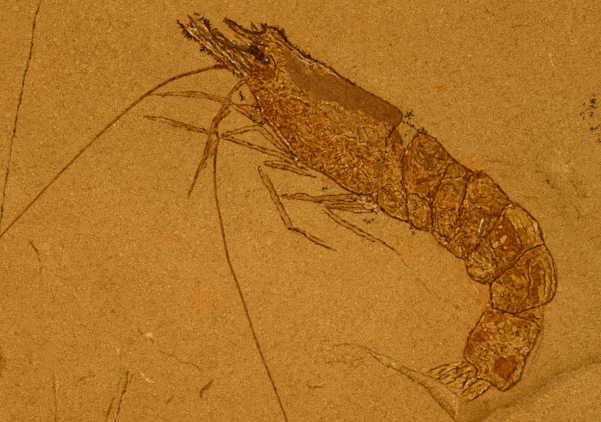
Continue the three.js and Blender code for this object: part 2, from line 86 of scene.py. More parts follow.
def noise(u, v, size, seed, octaves=1, gain=0.5):
    """Smooth seeded noise from 0 to 1 whose lumps are about `size` units across."""
    total = np.zeros(np.broadcast(u, v).shape, np.float32)
    weight = 0.0
    for k in range(octaves):
        table = np.random.default_rng(seed * 17 + k).random((LATTICE, LATTICE), dtype=np.float32)
        turn = 0.6 + 1.1 * k + 0.37 * seed
        c, s = math.cos(turn), math.sin(turn)
        x = (u * c + v * s) * (2 ** k / size) + 97.3
        y = (v * c - u * s) * (2 ** k / size) + 41.7
        xi, yi = np.floor(x).astype(np.int32), np.floor(y).astype(np.int32)
        fx, fy = x - xi, y - yi
        fx, fy = fx * fx * (3 - 2 * fx), fy * fy * (3 - 2 * fy)
        x0, x1, y0, y1 = xi % LATTICE, (xi + 1) % LATTICE, yi % LATTICE, (yi + 1) % LATTICE
        low = table[y0, x0] * (1 - fx) + table[y0, x1] * fx
        high = table[y1, x0] * (1 - fx) + table[y1, x1] * fx
        amount = gain ** k
        total += amount * (low * (1 - fy) + high * fy)
        weight += amount
    return total / weight


def veins(u, v, size, seed, width=0.1, warp=0.5):
    """Thin winding lines, 1 on the line: the places where a noise crosses its middle."""
    bend = size * warp
    du = (noise(u, v, size * 0.7, seed + 1) - 0.5) * 2 * bend
    dv = (noise(u, v, size * 0.7, seed + 2) - 0.5) * 2 * bend
    n = noise(u + du, v + dv, size, seed, 2)
    return n - 0.5, np.clip(1 - np.abs(n - 0.5) / width, 0, 1)


def along_grain(u, v, degrees, stretch):
    """Places measured along and across a grain; a noise read there is drawn out along it."""
    axis = math.radians(degrees)
    return (u * math.cos(axis) + v * math.sin(axis)) / stretch, v * math.cos(axis) - u * math.sin(axis)


def points(text):
    """The places that a text of u,v pairs names."""
    return np.array([[float(n) for n in pair.split(",")] for pair in text.split()])


def written(places, digits=1):
    """Places as a text of u,v pairs."""
    return " ".join(f"{u:.{digits}f},{v:.{digits}f}" for u, v in places)


def curve(text, spacing=1.5):
    """A smooth line through the given places, cut into short steps."""
    p = points(text)
    if len(p) < 3:
        count = max(2, int(np.hypot(*(p[-1] - p[0])) / spacing))
        t = np.linspace(0, 1, count + 1)[:, None]
        return p[0] * (1 - t) + p[-1] * t
    ends = np.vstack([2 * p[0] - p[1], p, 2 * p[-1] - p[-2]])
    out = []
    for a, b, c, d in zip(ends[:-3], ends[1:-2], ends[2:-1], ends[3:]):
        count = max(1, int(round(np.hypot(*(c - b)) / spacing)))
        k1 = max(np.hypot(*(b - a)), 1e-6) ** 0.5
        k2 = max(np.hypot(*(c - b)), 1e-6) ** 0.5
        k3 = max(np.hypot(*(d - c)), 1e-6) ** 0.5
        m1 = (c - b) + k2 * ((b - a) / k1 - (c - a) / (k1 + k2))
        m2 = (c - b) + k2 * ((d - c) / k3 - (d - b) / (k2 + k3))
        for t in np.arange(count) / count:
            out.append((2 * t ** 3 - 3 * t ** 2 + 1) * b + (t ** 3 - 2 * t ** 2 + t) * m1
                       + (3 * t ** 2 - 2 * t ** 3) * c + (t ** 3 - t ** 2) * m2)
    out.append(p[-1])
    return np.array(out)


class Window:
    """A rectangle of the sheet."""

    def __init__(self, u_lo, u_hi, v_lo, v_hi, margin=4.0):
        c0 = int(max(0, math.floor((u_lo - margin - U0) / STEP)))
        c1 = int(min(NU, math.ceil((u_hi + margin - U0) / STEP) + 1))
        r0 = int(max(0, math.floor((v_lo - margin - V0) / STEP)))
        r1 = int(min(NV, math.ceil((v_hi + margin - V0) / STEP) + 1))
        self.c0, self.r0 = c0, r0
        self.cut = np.s_[r0:max(r1, r0 + 2), c0:max(c1, c0 + 2)]
        self.u, self.v = U[self.cut], V[self.cut]

    def read(self, layer, u, v):
        """The window's own layer, read between its places."""
        x = (u - U0) / STEP - self.c0
        y = (v - V0) / STEP - self.r0
        x = np.clip(x, 0, layer.shape[1] - 1.001)
        y = np.clip(y, 0, layer.shape[0] - 1.001)
        i, j = x.astype(int), y.astype(int)
        fx, fy = x - i, y - j
        return ((layer[j, i] * (1 - fx) + layer[j, i + 1] * fx) * (1 - fy)
                + (layer[j + 1, i] * (1 - fx) + layer[j + 1, i + 1] * fx) * fy)


SHEET = Window(U0, U0 + STEP * (NU - 1), V0, V0 + STEP * (NV - 1), 0)


# Drawn lines waver a little, as lines in stone do.
BENT_U = U + 1.7 * (noise(U, V, 6, 301, 2) - 0.5) + 1.2 * (noise(U, V, 2.0, 302) - 0.5)
BENT_V = V + 1.7 * (noise(U, V, 6, 303, 2) - 0.5) + 1.2 * (noise(U, V, 2.0, 304) - 0.5)


class Trace:
    """A line on the sheet: how far each place near it is, how far along, and on which side.

    side is above 0 on the left hand of the line as it runs.
    """

    def __init__(self, line, reach):
        lo, hi = line.min(0), line.max(0)
        self.win = win = Window(lo[0], hi[0], lo[1], hi[1], reach)
        self.far = np.full(win.u.shape, 99.0, np.float32)
        self.along = np.zeros(win.u.shape, np.float32)
        self.side = np.zeros(win.u.shape, np.float32)
        self.length = 0.0
        for a, b in zip(line[:-1], line[1:]):
            span = b - a
            size = max(float(np.hypot(*span)), 1e-6)
            part = Window(min(a[0], b[0]), max(a[0], b[0]), min(a[1], b[1]), max(a[1], b[1]), reach)
            rows = np.s_[part.r0 - win.r0:part.r0 - win.r0 + part.u.shape[0],
                         part.c0 - win.c0:part.c0 - win.c0 + part.u.shape[1]]
            du, dv = BENT_U[part.cut] - a[0], BENT_V[part.cut] - a[1]
            t = np.clip((du * span[0] + dv * span[1]) / size ** 2, 0, 1)
            d = np.hypot(du - t * span[0], dv - t * span[1])
            near = d < self.far[rows]
            self.far[rows][near] = d[near]
            self.along[rows][near] = (self.length + t * size)[near]
            self.side[rows][near] = (du * span[1] - dv * span[0])[near]
            self.length += size

    def waver(self, size, seed, levels=2):
        """A noise that changes along the line, from 0 to 1."""
        return noise(self.along, self.along * 0 + seed * 3.1, size, seed, levels)

    def ends(self, first, last):
        """0 at the ends of the line, 1 beyond the given lengths from them."""
        out = 1.0
        if first:
            out = out * smoothstep(self.along, -1e-3, first)
        if last:
            out = out * smoothstep(self.length - self.along, -1e-3, last)
        return out


def stroke(line, width, soft, ragged, taper, seed):
    """A brush stroke along a line: its window, its mask from 0 to 1 and how far inside it each place is."""
    t = Trace(line, width + soft + 1.5)
    half = 0.5 * width * (1 + 2 * ragged * (t.waver(5.0, seed) - 0.5)) * t.ends(*taper)
    weight = np.clip(0.32 + 1.25 * t.waver(3.6, seed + 5), 0, 1)
    mask = np.clip((half - t.far) / soft + 0.5, 0, 1) * weight
    return t.win, mask, np.maximum(half, 0.35) - t.far


def paint(layer, win, mask, value):
    """Brings a layer to a value as far as the mask, from 0 to 1, says."""
    layer[win.cut] = layer[win.cut] * (1 - mask) + value * mask


def draw(layer, width, value, text, strength=1.0, soft=0.8, ragged=0.5, taper=(0, 0), seed=1):
    """Draws a line of one value into a layer."""
    win, mask, _ = stroke(curve(text), width, soft, ragged, taper, seed)
    paint(layer, win, mask * strength, value)


def seam(width, value, text, seed):
    """A joint of the shell: a broken dark line with a brown shade round it and pale crumbs beside it."""
    t = Trace(curve(text), 2.2 * width + 4)
    signed = np.where(t.side > 0, t.far, -t.far) + 2.0 * (t.waver(3.0, seed + 11) - 0.5)
    far = np.abs(signed)
    ends = t.ends(2, 2)
    view = tone[t.win.cut]
    if width > 1.7 and value < 0.22:
        patchy = noise(t.win.u, t.win.v, 3.0, seed + 13, 2)
        shade = np.exp(-(far / (1.3 * width)) ** 2) * (0.6 * patchy) * ends
        view += shade * (value + 0.2 - view)
        rust[t.win.cut] += 0.5 * shade
    facing = np.where(t.waver(16, seed + 7) > 0.5, 1.0, -1.0)
    crumbs = smoothstep(t.waver(4.0, seed + 9), 0.42, 0.62) * (noise(t.win.u, t.win.v, 1.6, seed + 15) + 0.3)
    view += 0.24 * np.exp(-((signed * facing - 0.5 * width - 1.0) / 0.65) ** 2) * crumbs * ends
    if width > 1.7:
        twin = np.abs(signed + facing * (0.4 * width + 1.9) + 1.5 * (t.waver(5, seed + 17) - 0.5))
        faint = smoothstep(t.waver(9, seed + 19), 0.48, 0.62) * ends
        view += np.clip((0.55 - twin) / 0.8 + 0.5, 0, 1) * faint * 0.6 * (value + 0.1 - view)
    half = 0.37 * width * (1 + 1.7 * (t.waver(4.4, seed) - 0.5)) * ends
    core = np.clip((half - far) / 0.8 + 0.5, 0, 1) * np.clip(0.15 + 1.45 * t.waver(3.4, seed + 5), 0, 1)
    view += core * (value - view)


def emboss(layer, width, height, text, ragged=0.3, taper=(0, 0), seed=1):
    """Adds a rounded ridge, or a groove where the height is negative."""
    t = Trace(curve(text), width)
    wave = 1 + 2 * ragged * (t.waver(6.0, seed) - 0.5)
    shape = np.clip(1 - (t.far / (0.5 * width * wave)) ** 2, 0, 1) ** 1.5
    layer[t.win.cut] += height * shape * t.ends(*taper)


def painted_shade_bank(layer, value, reach, strength, text, seed=1):
    """A painted shade that starts sharply at a line and fades out on the left hand of it."""
    t = Trace(curve(text), 3 * reach)
    fade = np.exp(-t.far / (reach * (0.5 + t.waver(14, seed, 3))))
    mask = np.where(t.side > 0, fade, np.clip(1 - t.far / 0.9, 0, 1)) * t.ends(10, 10) * strength
    paint(layer, t.win, mask, value)


def inside_distance(polygon, win):
    """Distance to a closed outline, above 0 inside it."""
    far = np.full(win.u.shape, 1e9, np.float32)
    odd = np.zeros(win.u.shape, bool)
    for a, b in zip(polygon, np.roll(polygon, -1, 0)):
        span = b - a
        size2 = float(span @ span)
        if size2 < 1e-12:
            continue
        du, dv = win.u - a[0], win.v - a[1]
        t = np.clip((du * span[0] + dv * span[1]) / size2, 0, 1)
        far = np.minimum(far, (du - t * span[0]) ** 2 + (dv - t * span[1]) ** 2)
        crosses = (win.v < a[1]) != (win.v < b[1])
        if abs(span[1]) > 1e-9:
            odd ^= crosses & (du < span[0] * dv / span[1])
    far = np.sqrt(far)
    return np.where(odd, far, -far)


def patch(layer, value, text, feather=2.5, strength=1.0, ragged=2.0, seed=1):
    """Fills an area of a layer, its edge feathered and uneven."""
    p = points(text)
    lo, hi = p.min(0), p.max(0)
    win = Window(lo[0], hi[0], lo[1], hi[1], feather + ragged + 1)
    d = inside_distance(p, win)
    if ragged:
        d = d + 2.6 * ragged * (noise(win.u, win.v, 6.0, seed, 4, 0.65) - 0.5)
    paint(layer, win, smoothstep(d, -feather, feather) * strength, value)


def blot(layer, value, u, v, ru, rv, turn=0, strength=1.0, soft=0.35, ragged=0.2, seed=1):
    """A soft oval of one value."""
    r = max(ru, rv)
    win = Window(u - r, u + r, v - r, v + r, 0.6 * r + 1)
    c, s = math.cos(math.radians(turn)), math.sin(math.radians(turn))
    x, y = win.u - u, win.v - v
    d = np.hypot((x * c + y * s) / ru, (y * c - x * s) / rv)
    d = d + ragged * 2 * (noise(win.u, win.v, max(1.5, 0.5 * r), seed) - 0.5)
    paint(layer, win, smoothstep(-d, -1 - soft, -1 + soft) * strength, value)


def blur(layer, sigma):
    """Gaussian blur, sigma in raster steps."""
    reach = int(math.ceil(3 * sigma))
    taps = np.exp(-0.5 * (np.arange(-reach, reach + 1) / sigma) ** 2)
    taps /= taps.sum()
    for axis in (0, 1):
        pad = [(0, 0), (0, 0)]
        pad[axis] = (reach, reach)
        wide = np.pad(layer, pad, mode="edge")
        size = layer.shape[axis]
        total = 0
        for k, w in enumerate(taps):
            total = total + w * (wide[k:k + size] if axis == 0 else wide[:, k:k + size])
        layer = total
    return layer


# ---- layers ----------------------------------------------------------------------------------
# tone: how light the fossil is, 0 black brown to 1 pale yellow, painted highlight and shade included.   rough: how crusted it is.
# rust: reddish stain.   moss: grey-green stain.   film: smooth brown film of the shield.
# lift: relief in mm.   stone and stone_lift: tone, painted light and shade included, and relief of the slab.   stain: its orange stain.
# detail: how finely the slab is meshed, 0 to FINEST.

FINEST = 3

tone = np.full((NV, NU), 0.5, np.float32)
rough = np.full((NV, NU), 1.0, np.float32)
rust = np.zeros((NV, NU), np.float32)
moss = np.zeros((NV, NU), np.float32)
film = np.zeros((NV, NU), np.float32)
lift = np.zeros((NV, NU), np.float32)
stone = np.full((NV, NU), 0.5, np.float32)
stone_lift = np.zeros((NV, NU), np.float32)
stain = np.zeros((NV, NU), np.float32)
detail = np.zeros((NV, NU), np.int8)
FOSSIL = Window(140, 572, 8, 421, 0)


def mesh_finely(text, near, reach):
    """Asks for the slab's finest mesh beside a line."""
    t = Trace(curve(text), reach)
    wanted = np.where(t.far < near, FINEST, 0).astype(np.int8)
    detail[t.win.cut] = np.maximum(detail[t.win.cut], wanted)


# ---- the body's broad areas: lightness, then crustiness ---------------------------------------

# Outlines that more than one layer uses.
FIRST_RING_FLAP = "401,119 418,128 411,146 399,150 394,132"
SECOND_RING_TOP = "414,140 440,146 452,162 442,180 424,180 410,165"
FIFTH_RING_PALE = "507,209 526,212 536,228 530,240 518,236 506,220"
FIFTH_RING_DARK = "494,222 508,222 520,240 512,258 500,250 494,236"
FAN_PLACE = "424,374 458,358 480,368 494,384 470,404 446,392"
LAST_RING_CREST = "484,310 508,314 506,324 494,322 484,324"
LAST_RING_SIDE = "474,330 492,330 492,340 484,343 472,342"
LAST_RING_HEEL = "494,361 506,356 518,353 522,362 518,372 508,380 499,378 494,370"
UNDER_LEGS = "290,228 318,228 320,250 294,250"
UNDER_RINGS = "452,262 464,262 468,276 458,280"
FILM_PLACE = ("286,54 290,53 294,58 297,63 303,69 310,74.5 329,75.5 345,81 361,89 377,97 393,106 400,112 "
              "401,120 392,126 377,122 360,112 334,102 314,97 303,89 292,77 286,68")

AREAS = [
    # value, feather, outline
    (0.48, 3, "228,16 262,20 286,30 290,45 284,60 276,78 262,86 246,82 236,70 180,25"),
    (0.46, 2.5, "258,22 270,26 282,31 290,44 284,46 274,36 262,34"),
    (0.47, 4, "246,80 276,76 300,92 318,110 316,150 300,158 276,134 262,118 254,98"),
    (0.44, 4, "262,96 284,98 288,126 276,132 264,118"),
    (0.50, 4, "300,92 345,106 392,122 386,150 382,205 356,194 318,172 300,140"),
    (0.52, 5, "318,108 352,112 380,126 382,140 350,140 322,128"),
    (0.53, 4, "330,150 376,150 378,196 352,192 326,174"),
    (0.54, 3, "386,140 404,138 410,160 410,222 396,218 382,208 380,176"),
    (0.62, 2.5, FIRST_RING_FLAP),
    (0.43, 3, SECOND_RING_TOP),
    (0.52, 3, "404,165 424,172 430,190 418,198 404,190"),
    (0.50, 2.5, "408,196 430,202 431,230 416,227 408,215"),
    (0.47, 3, "436,168 456,160 470,180 464,200 444,190"),
    (0.46, 3, "436,186 462,192 462,216 440,216 434,200"),
    (0.50, 3, "436,214 462,216 468,262 446,248 434,230"),
    (0.50, 3, "470,176 490,176 506,196 500,212 470,206 466,190"),
    (0.48, 2.5, "486,182 498,186 506,196 500,203 488,198"),
    (0.44, 2.5, "470,200 492,202 494,220 478,232 466,222"),
    (0.54, 3, "452,232 472,236 474,258 466,262 452,250"),
    (0.61, 2.5, FIFTH_RING_PALE),
    (0.42, 2.5, FIFTH_RING_DARK),
    (0.46, 3, "478,236 492,238 492,256 478,258 472,246"),
    (0.38, 2.0, "512,226 522,238 530,246 524,254 514,246"),
    (0.54, 2.5, "470,258 488,252 500,262 496,272 482,276 472,268"),
    (0.46, 2.0, "494,258 512,264 502,272 492,280 486,276"),
    (0.50, 2.5, "492,285 510,284 512,300 502,308 494,300"),
    (0.56, 2.5, "512,266 530,262 530,286 520,292 512,284"),
    (0.42, 2.5, "508,276 522,284 524,304 512,310 508,296"),
    (0.35, 2.0, "529,266 541,262 542,300 534,306 526,300"),
    (0.50, 1.6, "542,262 556,272 555,292 546,300 542,290"),
    (0.47, 2.5, "500,304 536,304 540,312 512,312"),
    (0.55, 3, "464,308 542,310 540,332 524,372 500,392 464,362"),
    (0.41, 1.6, "486,310 508,314 507,322 498,325 490,321 484,320"),
    (0.38, 1.6, "474,330 484,328 493,331 490,340 480,343 472,341"),
    (0.37, 1.6, "494,361 506,356 515,354 518,362 515,372 507,380 499,378 494,370"),
    (0.40, 1.4, "521,318 531,320 534,328 526,333 522,326"),
    (0.40, 1.5, "467,342 477,344 475,352 468,357"),
    (0.44, 1.4, "497,334 506,332 507,339 499,341"),
    (0.38, 2.5, "254,66 266,66 276,70 274,80 262,85 253,79"),
    (0.38, 2.5, "176,14 210,16 236,36 252,50 240,55 214,48 188,34"),
    (0.50, 2.0, "268,36 282,34 285,44 278,50 268,44"),
    (0.58, 2, FAN_PLACE),
    (0.42, 2.5, "492,276 506,274 510,288 500,296 490,290"),
    (0.32, 2.0, "391,128 399,130 403,146 397,156 390,150"),
    (0.40, 2.5, "466,244 482,244 482,262 470,268 462,256"),
    (0.42, 2.5, "502,318 520,320 522,330 508,336 500,328"),
    (0.36, 2.5, "416,178 430,180 432,196 422,200 414,192"),
    (0.40, 2.5, "512,258 530,258 532,276 518,278 510,270"),
    (0.44, 1.6, "458,368 472,368 474,380 462,386 456,378"),
    (0.38, 2.5, "456,232 472,232 474,246 462,250 454,242"),
    (0.30, 2.0, "464,168 480,168 484,178 474,182 464,178"),
    (0.40, 2.5, "472,220 486,220 488,232 478,236 470,230"),
    (0.46, 2.5, "486,330 502,330 502,342 490,344 484,338"),
    (0.38, 2.0, "248,98 258,100 264,114 258,118 250,108"),
    (0.36, 2.0, "404,152 413,154 414,168 407,170 403,162"),
    (0.34, 2.0, "240,64 252,62 256,72 248,80 240,74"),
    (0.44, 3.0, "354,180 372,182 374,196 358,198"),
    (0.42, 2.5, "415,202 430,204 430,216 418,218"),
    (0.66, 1.6, "528,222 538,228 543,244 536,248 530,238"),
    (0.66, 1.4, "518,348 527,348 525,360 520,366"),
    (0.62, 2.0, "176,18 186,24 192,34 184,34 178,28"),
    (0.64, 2.5, "194,28 208,30 214,44 200,44"),
    (0.60, 1.6, "538,286 548,286 546,300 538,302"),
    (0.34, 1.6, "526,314 536,314 536,323 528,324"),
    (0.34, 2.0, "494,214 506,214 506,224 496,226"),
    (0.34, 2.0, "496,268 510,272 508,282 496,282"),
    (0.26, 1.6, "468,162 482,165 480,173 468,172"),
    (0.52, 2.0, "395,144 404,146 404,156 396,156"),
    (0.62, 3.0, "370,148 386,150 384,160 372,160"),
    (0.40, 2.0, "310,66 330,72 330,78 314,76"),
    (0.38, 2.0, "446,164 456,164 460,176 450,180"),
    (0.40, 2.0, "516,228 526,228 528,242 520,246"),
    (0.44, 2.0, "470,358 486,360 488,372 476,372"),
    (0.36, 1.6, "504,303 522,303 522,311 508,313"),
    (0.66, 1.6, "464,382 478,382 476,394 466,396"),
    (0.48, 2.0, "504,252 516,252 516,264 504,264"),
    (0.60, 1.4, "530,325 538,328 535,339 529,340"),
    (0.36, 2.0, "430,170 442,172 442,190 432,190"),
    (0.44, 2.5, "336,172 356,176 358,186 340,184"),
    (0.14, 1.4, "226,19 231,20 238,24 246,29 253,32 262,30 266,30 262,35 254,36 246,34 238,29 230,25"),
    (0.18, 1.4, "232,27 238,32 245,37 254,42 262,44 262,47 253,45 244,40 236,35"),
]

CALM = [
    # crustiness, feather, outline
    (0.50, 6, "404,120 440,128 480,164 520,196 550,232 566,270 556,310 546,340 520,380 496,392 460,372 "
              "462,330 484,300 460,262 430,236 404,222 408,190 398,160"),
    (1.15, 5, "404,196 430,200 462,208 480,238 500,270 500,300 488,300 466,262 430,234 402,222"),
    (1.00, 4, "474,322 520,330 530,350 500,372 476,362"),
    (0.10, 2.0, FILM_PLACE),
    (0.45, 3, SECOND_RING_TOP),
    (0.40, 3, "470,176 490,176 506,196 496,214 480,224 470,206"),
    (0.25, 2, FIFTH_RING_PALE),
    (0.25, 2, FIFTH_RING_DARK),
    (0.20, 2, "528,264 541,262 542,300 534,306 526,300"),
    (0.30, 2, "542,250 558,270 556,294 546,302 542,290"),
    (0.30, 2, LAST_RING_CREST),
    (0.25, 2, LAST_RING_SIDE),
    (0.25, 2, LAST_RING_HEEL),
    (0.60, 4, "320,104 345,110 365,122 392,136 388,150 368,148 346,140 330,130"),
    (0.40, 2, FIRST_RING_FLAP),
    (0.40, 2, FIFTH_RING_DARK),
    (0.45, 2, FAN_PLACE),
    (0.60, 3, "204,40 262,44 276,78 262,86 246,82"),
]

RUSTY = [
    # strength, feather, outline
    (0.40, 5, "262,92 300,100 320,130 316,160 296,156 270,126 256,100"),
    (0.35, 6, "318,130 380,150 380,200 350,190 320,170"),
    (0.90, 2, "392,134 401,136 401,150 393,152"),
    (0.80, 2, LAST_RING_SIDE),
    (0.90, 2, LAST_RING_HEEL),
    (0.80, 2, LAST_RING_CREST),
    (0.60, 2, FIFTH_RING_DARK),
    (0.50, 3, "404,168 424,174 426,192 412,196 404,190"),
    (0.50, 3, "438,186 460,192 460,216 440,216"),
    (0.45, 3, "516,262 530,262 530,288 518,292"),
]

MOSSY = [
    # strength, feather, outline
    (0.55, 3, "282,62 292,62 300,78 296,88 284,76"),
    (0.50, 3, "292,52 318,62 324,74 306,66 294,62"),
    (0.28, 4, "414,140 440,146 452,160 438,176 420,172 412,156"),
    (0.25, 4, "436,168 456,160 468,180 462,196 446,186"),
    (0.32, 3, "478,236 492,238 490,254 478,254"),
    (0.26, 4, "322,106 345,110 365,122 392,136 388,150 368,150 346,146 330,134"),
    (0.50, 2, FIRST_RING_FLAP),
    (0.60, 4, "180,22 210,20 252,48 250,76 236,74 205,46"),
    (0.55, 2, "226,18 262,28 266,46 250,44 236,34"),
    (0.50, 2, "262,22 276,26 289,40 284,48 270,38"),
]

for value, feather, outline in AREAS:
    patch(tone, value, outline, 0.7 * feather, ragged=3.0, seed=3)
for value, feather, outline in CALM:
    patch(rough, value, outline, feather, seed=3)
for value, feather, outline in RUSTY:
    patch(rust, value, outline, 0.7 * feather, ragged=3.0, seed=3)
for value, feather, outline in MOSSY:
    patch(moss, value, outline, feather, seed=7)
patch(film, 1.0, FILM_PLACE, 2.8, ragged=5.0, seed=3)

# ---- the crust ---------------------------------------------------------------------------------
# A wrinkled, cracked mineral crust: dark in its creases, light on its grains, with painted highlight and
# shade on its wrinkles.

fu, fv = FOSSIL.u, FOSSIL.v
BODY_BEARING = 32
swirl_u = fu + 22 * (noise(fu, fv, 24, 61, 2) - 0.5)
swirl_v = fv + 22 * (noise(fu, fv, 24, 62, 2) - 0.5)
au, av = along_grain(swirl_u, swirl_v, BODY_BEARING, 2.0)
speck = noise(fu, fv, 1.05, 21, 2)
grain = noise(au, av, 2.3, 22, 3, 0.6)
cloud = noise(fu, fv, 15, 23, 3)

# Short curved streaks, their bearing changing from place to place.
bearing = noise(fu, fv, 11, 59, 2)
fine, total = 0, 1e-4
for k, angle in enumerate((-30, 5, 35, 65, 100)):
    run_u, run_v = along_grain(swirl_u, swirl_v, angle, 3.2)
    weight = np.exp(-((bearing - 0.30 - 0.10 * k) / 0.06) ** 2) + 1e-5
    fine = fine + weight * noise(run_u, run_v, 1.2, FIBRE_SEED + k, 2)
    total = total + weight
fine = fine / total
# Smooth flakes of amber lie in the crust, more of them on the rings.
amber = smoothstep(noise(swirl_u, swirl_v, 9, 63, 3, 0.5), 0.53, 0.58)
amber *= 0.45 + 0.35 * smoothstep(fu, 395, 415)


def shading_and_relief_flanks(side, width):
    """A dark and a light flank on either side of a winding line: in the tone, painted shade and highlight of
    a wrinkle; in the lift, its relief.
    """
    return np.clip(side / width, -3, 3) * np.exp(-0.5 * (side / width) ** 2)


side1, vein1 = veins(au, av, 9.0, 24, 0.05, 0.6)
side2, vein2 = veins(au, av, 4.6, 28, 0.11, 0.55)
side3, vein3 = veins(au, av, 2.8, 34, 0.14, 0.5)
gate1 = smoothstep(noise(fu, fv, 13, 33, 2), 0.42, 0.60)
gate2 = smoothstep(noise(fu, fv, 6, 37, 2), 0.36, 0.60)
gate3 = smoothstep(noise(fu, fv, 8, 38, 2), 0.35, 0.60)
r = rough[FOSSIL.cut] * (1 - 0.6 * amber)
# In the tone, the flanks beside each vein are a painted shade and highlight of its wrinkle.
bits = (0.62 * (fine - 0.5) + 0.46 * (speck - 0.5) + 0.05 * (grain - 0.5) + 0.05 * (cloud - 0.5)
        - 0.15 * vein1 * gate1 + 0.10 * shading_and_relief_flanks(side1, 0.06) * gate1
        - 0.12 * vein2 * gate2 + 0.11 * shading_and_relief_flanks(side2, 0.12) * gate2
        - 0.10 * vein3 * gate3 + 0.10 * shading_and_relief_flanks(side3, 0.15) + 0.035)
bits = np.where(bits > 0, 0.72 * bits, bits)
# Small painted glints on the crust's grains.
glint = (smoothstep(noise(fu, fv, 1.4, 41, 2, 0.7), 0.76, 0.84)
         * smoothstep(noise(fu, fv, 12, 42, 2), 0.35, 0.65))
# Flakes: small areas of one shade with a clear edge, larger on the abdomen.
flake_size = 5 + 3 * smoothstep(fu, 395, 415)
flakes = smoothstep(noise(swirl_u / flake_size, swirl_v / flake_size, 1, 58, 3, 0.55), 0.44, 0.56) - 0.5
tone[FOSSIL.cut] += (0.02 + 0.10 * smoothstep(fu, 395, 415)) * flakes * smoothstep(r, 0, 0.3)
tone[FOSSIL.cut] += (0.05 * amber - 0.30 * amber * (0.8 - amber)) * smoothstep(r, 0, 0.3)
rust[FOSSIL.cut] += 0.25 * amber * smoothstep(r, 0, 0.3)
rust[FOSSIL.cut] += 0.35 * flakes * r
tone[FOSSIL.cut] += r * (bits + 0.18 * glint) + (1 - r) * (
    0.22 * (fine - 0.5) + 0.08 * (grain - 0.5) + 0.07 * (noise(fu, fv, 9, 44, 3) - 0.5))
lift[FOSSIL.cut] += r * (0.06 * (grain - 0.5) + 0.05 * (fine - 0.5) - 0.03 * vein1 * gate1
                         - 0.04 * vein2 * gate2 + 0.03 * shading_and_relief_flanks(side2, 0.11) - 0.03 * vein3 * gate3
                         + 0.06 * (cloud - 0.5) + 0.03 * glint)
lift[FOSSIL.cut] += (1 - r) * (0.012 * (grain - 0.5) + 0.05 * (cloud - 0.5))
rust[FOSSIL.cut] += r * (0.9 * (noise(fu, fv, 6, 51, 4, 0.6) - 0.45)
                         + 0.5 * vein2 * gate2 + 0.4 * vein3 * gate3 + 0.5 * vein1 * gate1)
moss[FOSSIL.cut] += r * 1.2 * (noise(fu, fv, 13, 52, 4, 0.6) - 0.56)
rust[FOSSIL.cut] += r * 0.9 * (noise(fu, fv, 1.7, 53, 2) - 0.5)
moss[FOSSIL.cut] += r * 1.3 * (noise(fu, fv, 1.9, 54, 2) - 0.5)
np.clip(rust, 0, 1, out=rust)
np.clip(moss, 0, 0.8, out=moss)

# The shield runs into the first ring without a groove.
JOINT = "386,143 384.5,156 382,165 381,171 380.5,180 381,193 382.6,207 384,212"
bridge = np.zeros((NV, NU), np.float32)
draw(bridge, 7, 1.0, JOINT, soft=3)
# The slab in the narrow gap at the joint is painted light, against the shadow that falls in the gap, and
# stained orange.
draw(stone, 3, 0.72, JOINT)
draw(stain, 4, 1.0, JOINT)
# The shell's edge from (541, 305) to (540, 331) is painted light, against the shadow on its rim.
draw(tone, 3, 0.66, "541,305 543,313 543,322 540,331", 0.8)

# ---- drawn lines: width, tone, relief, place -----------------------------------------------------

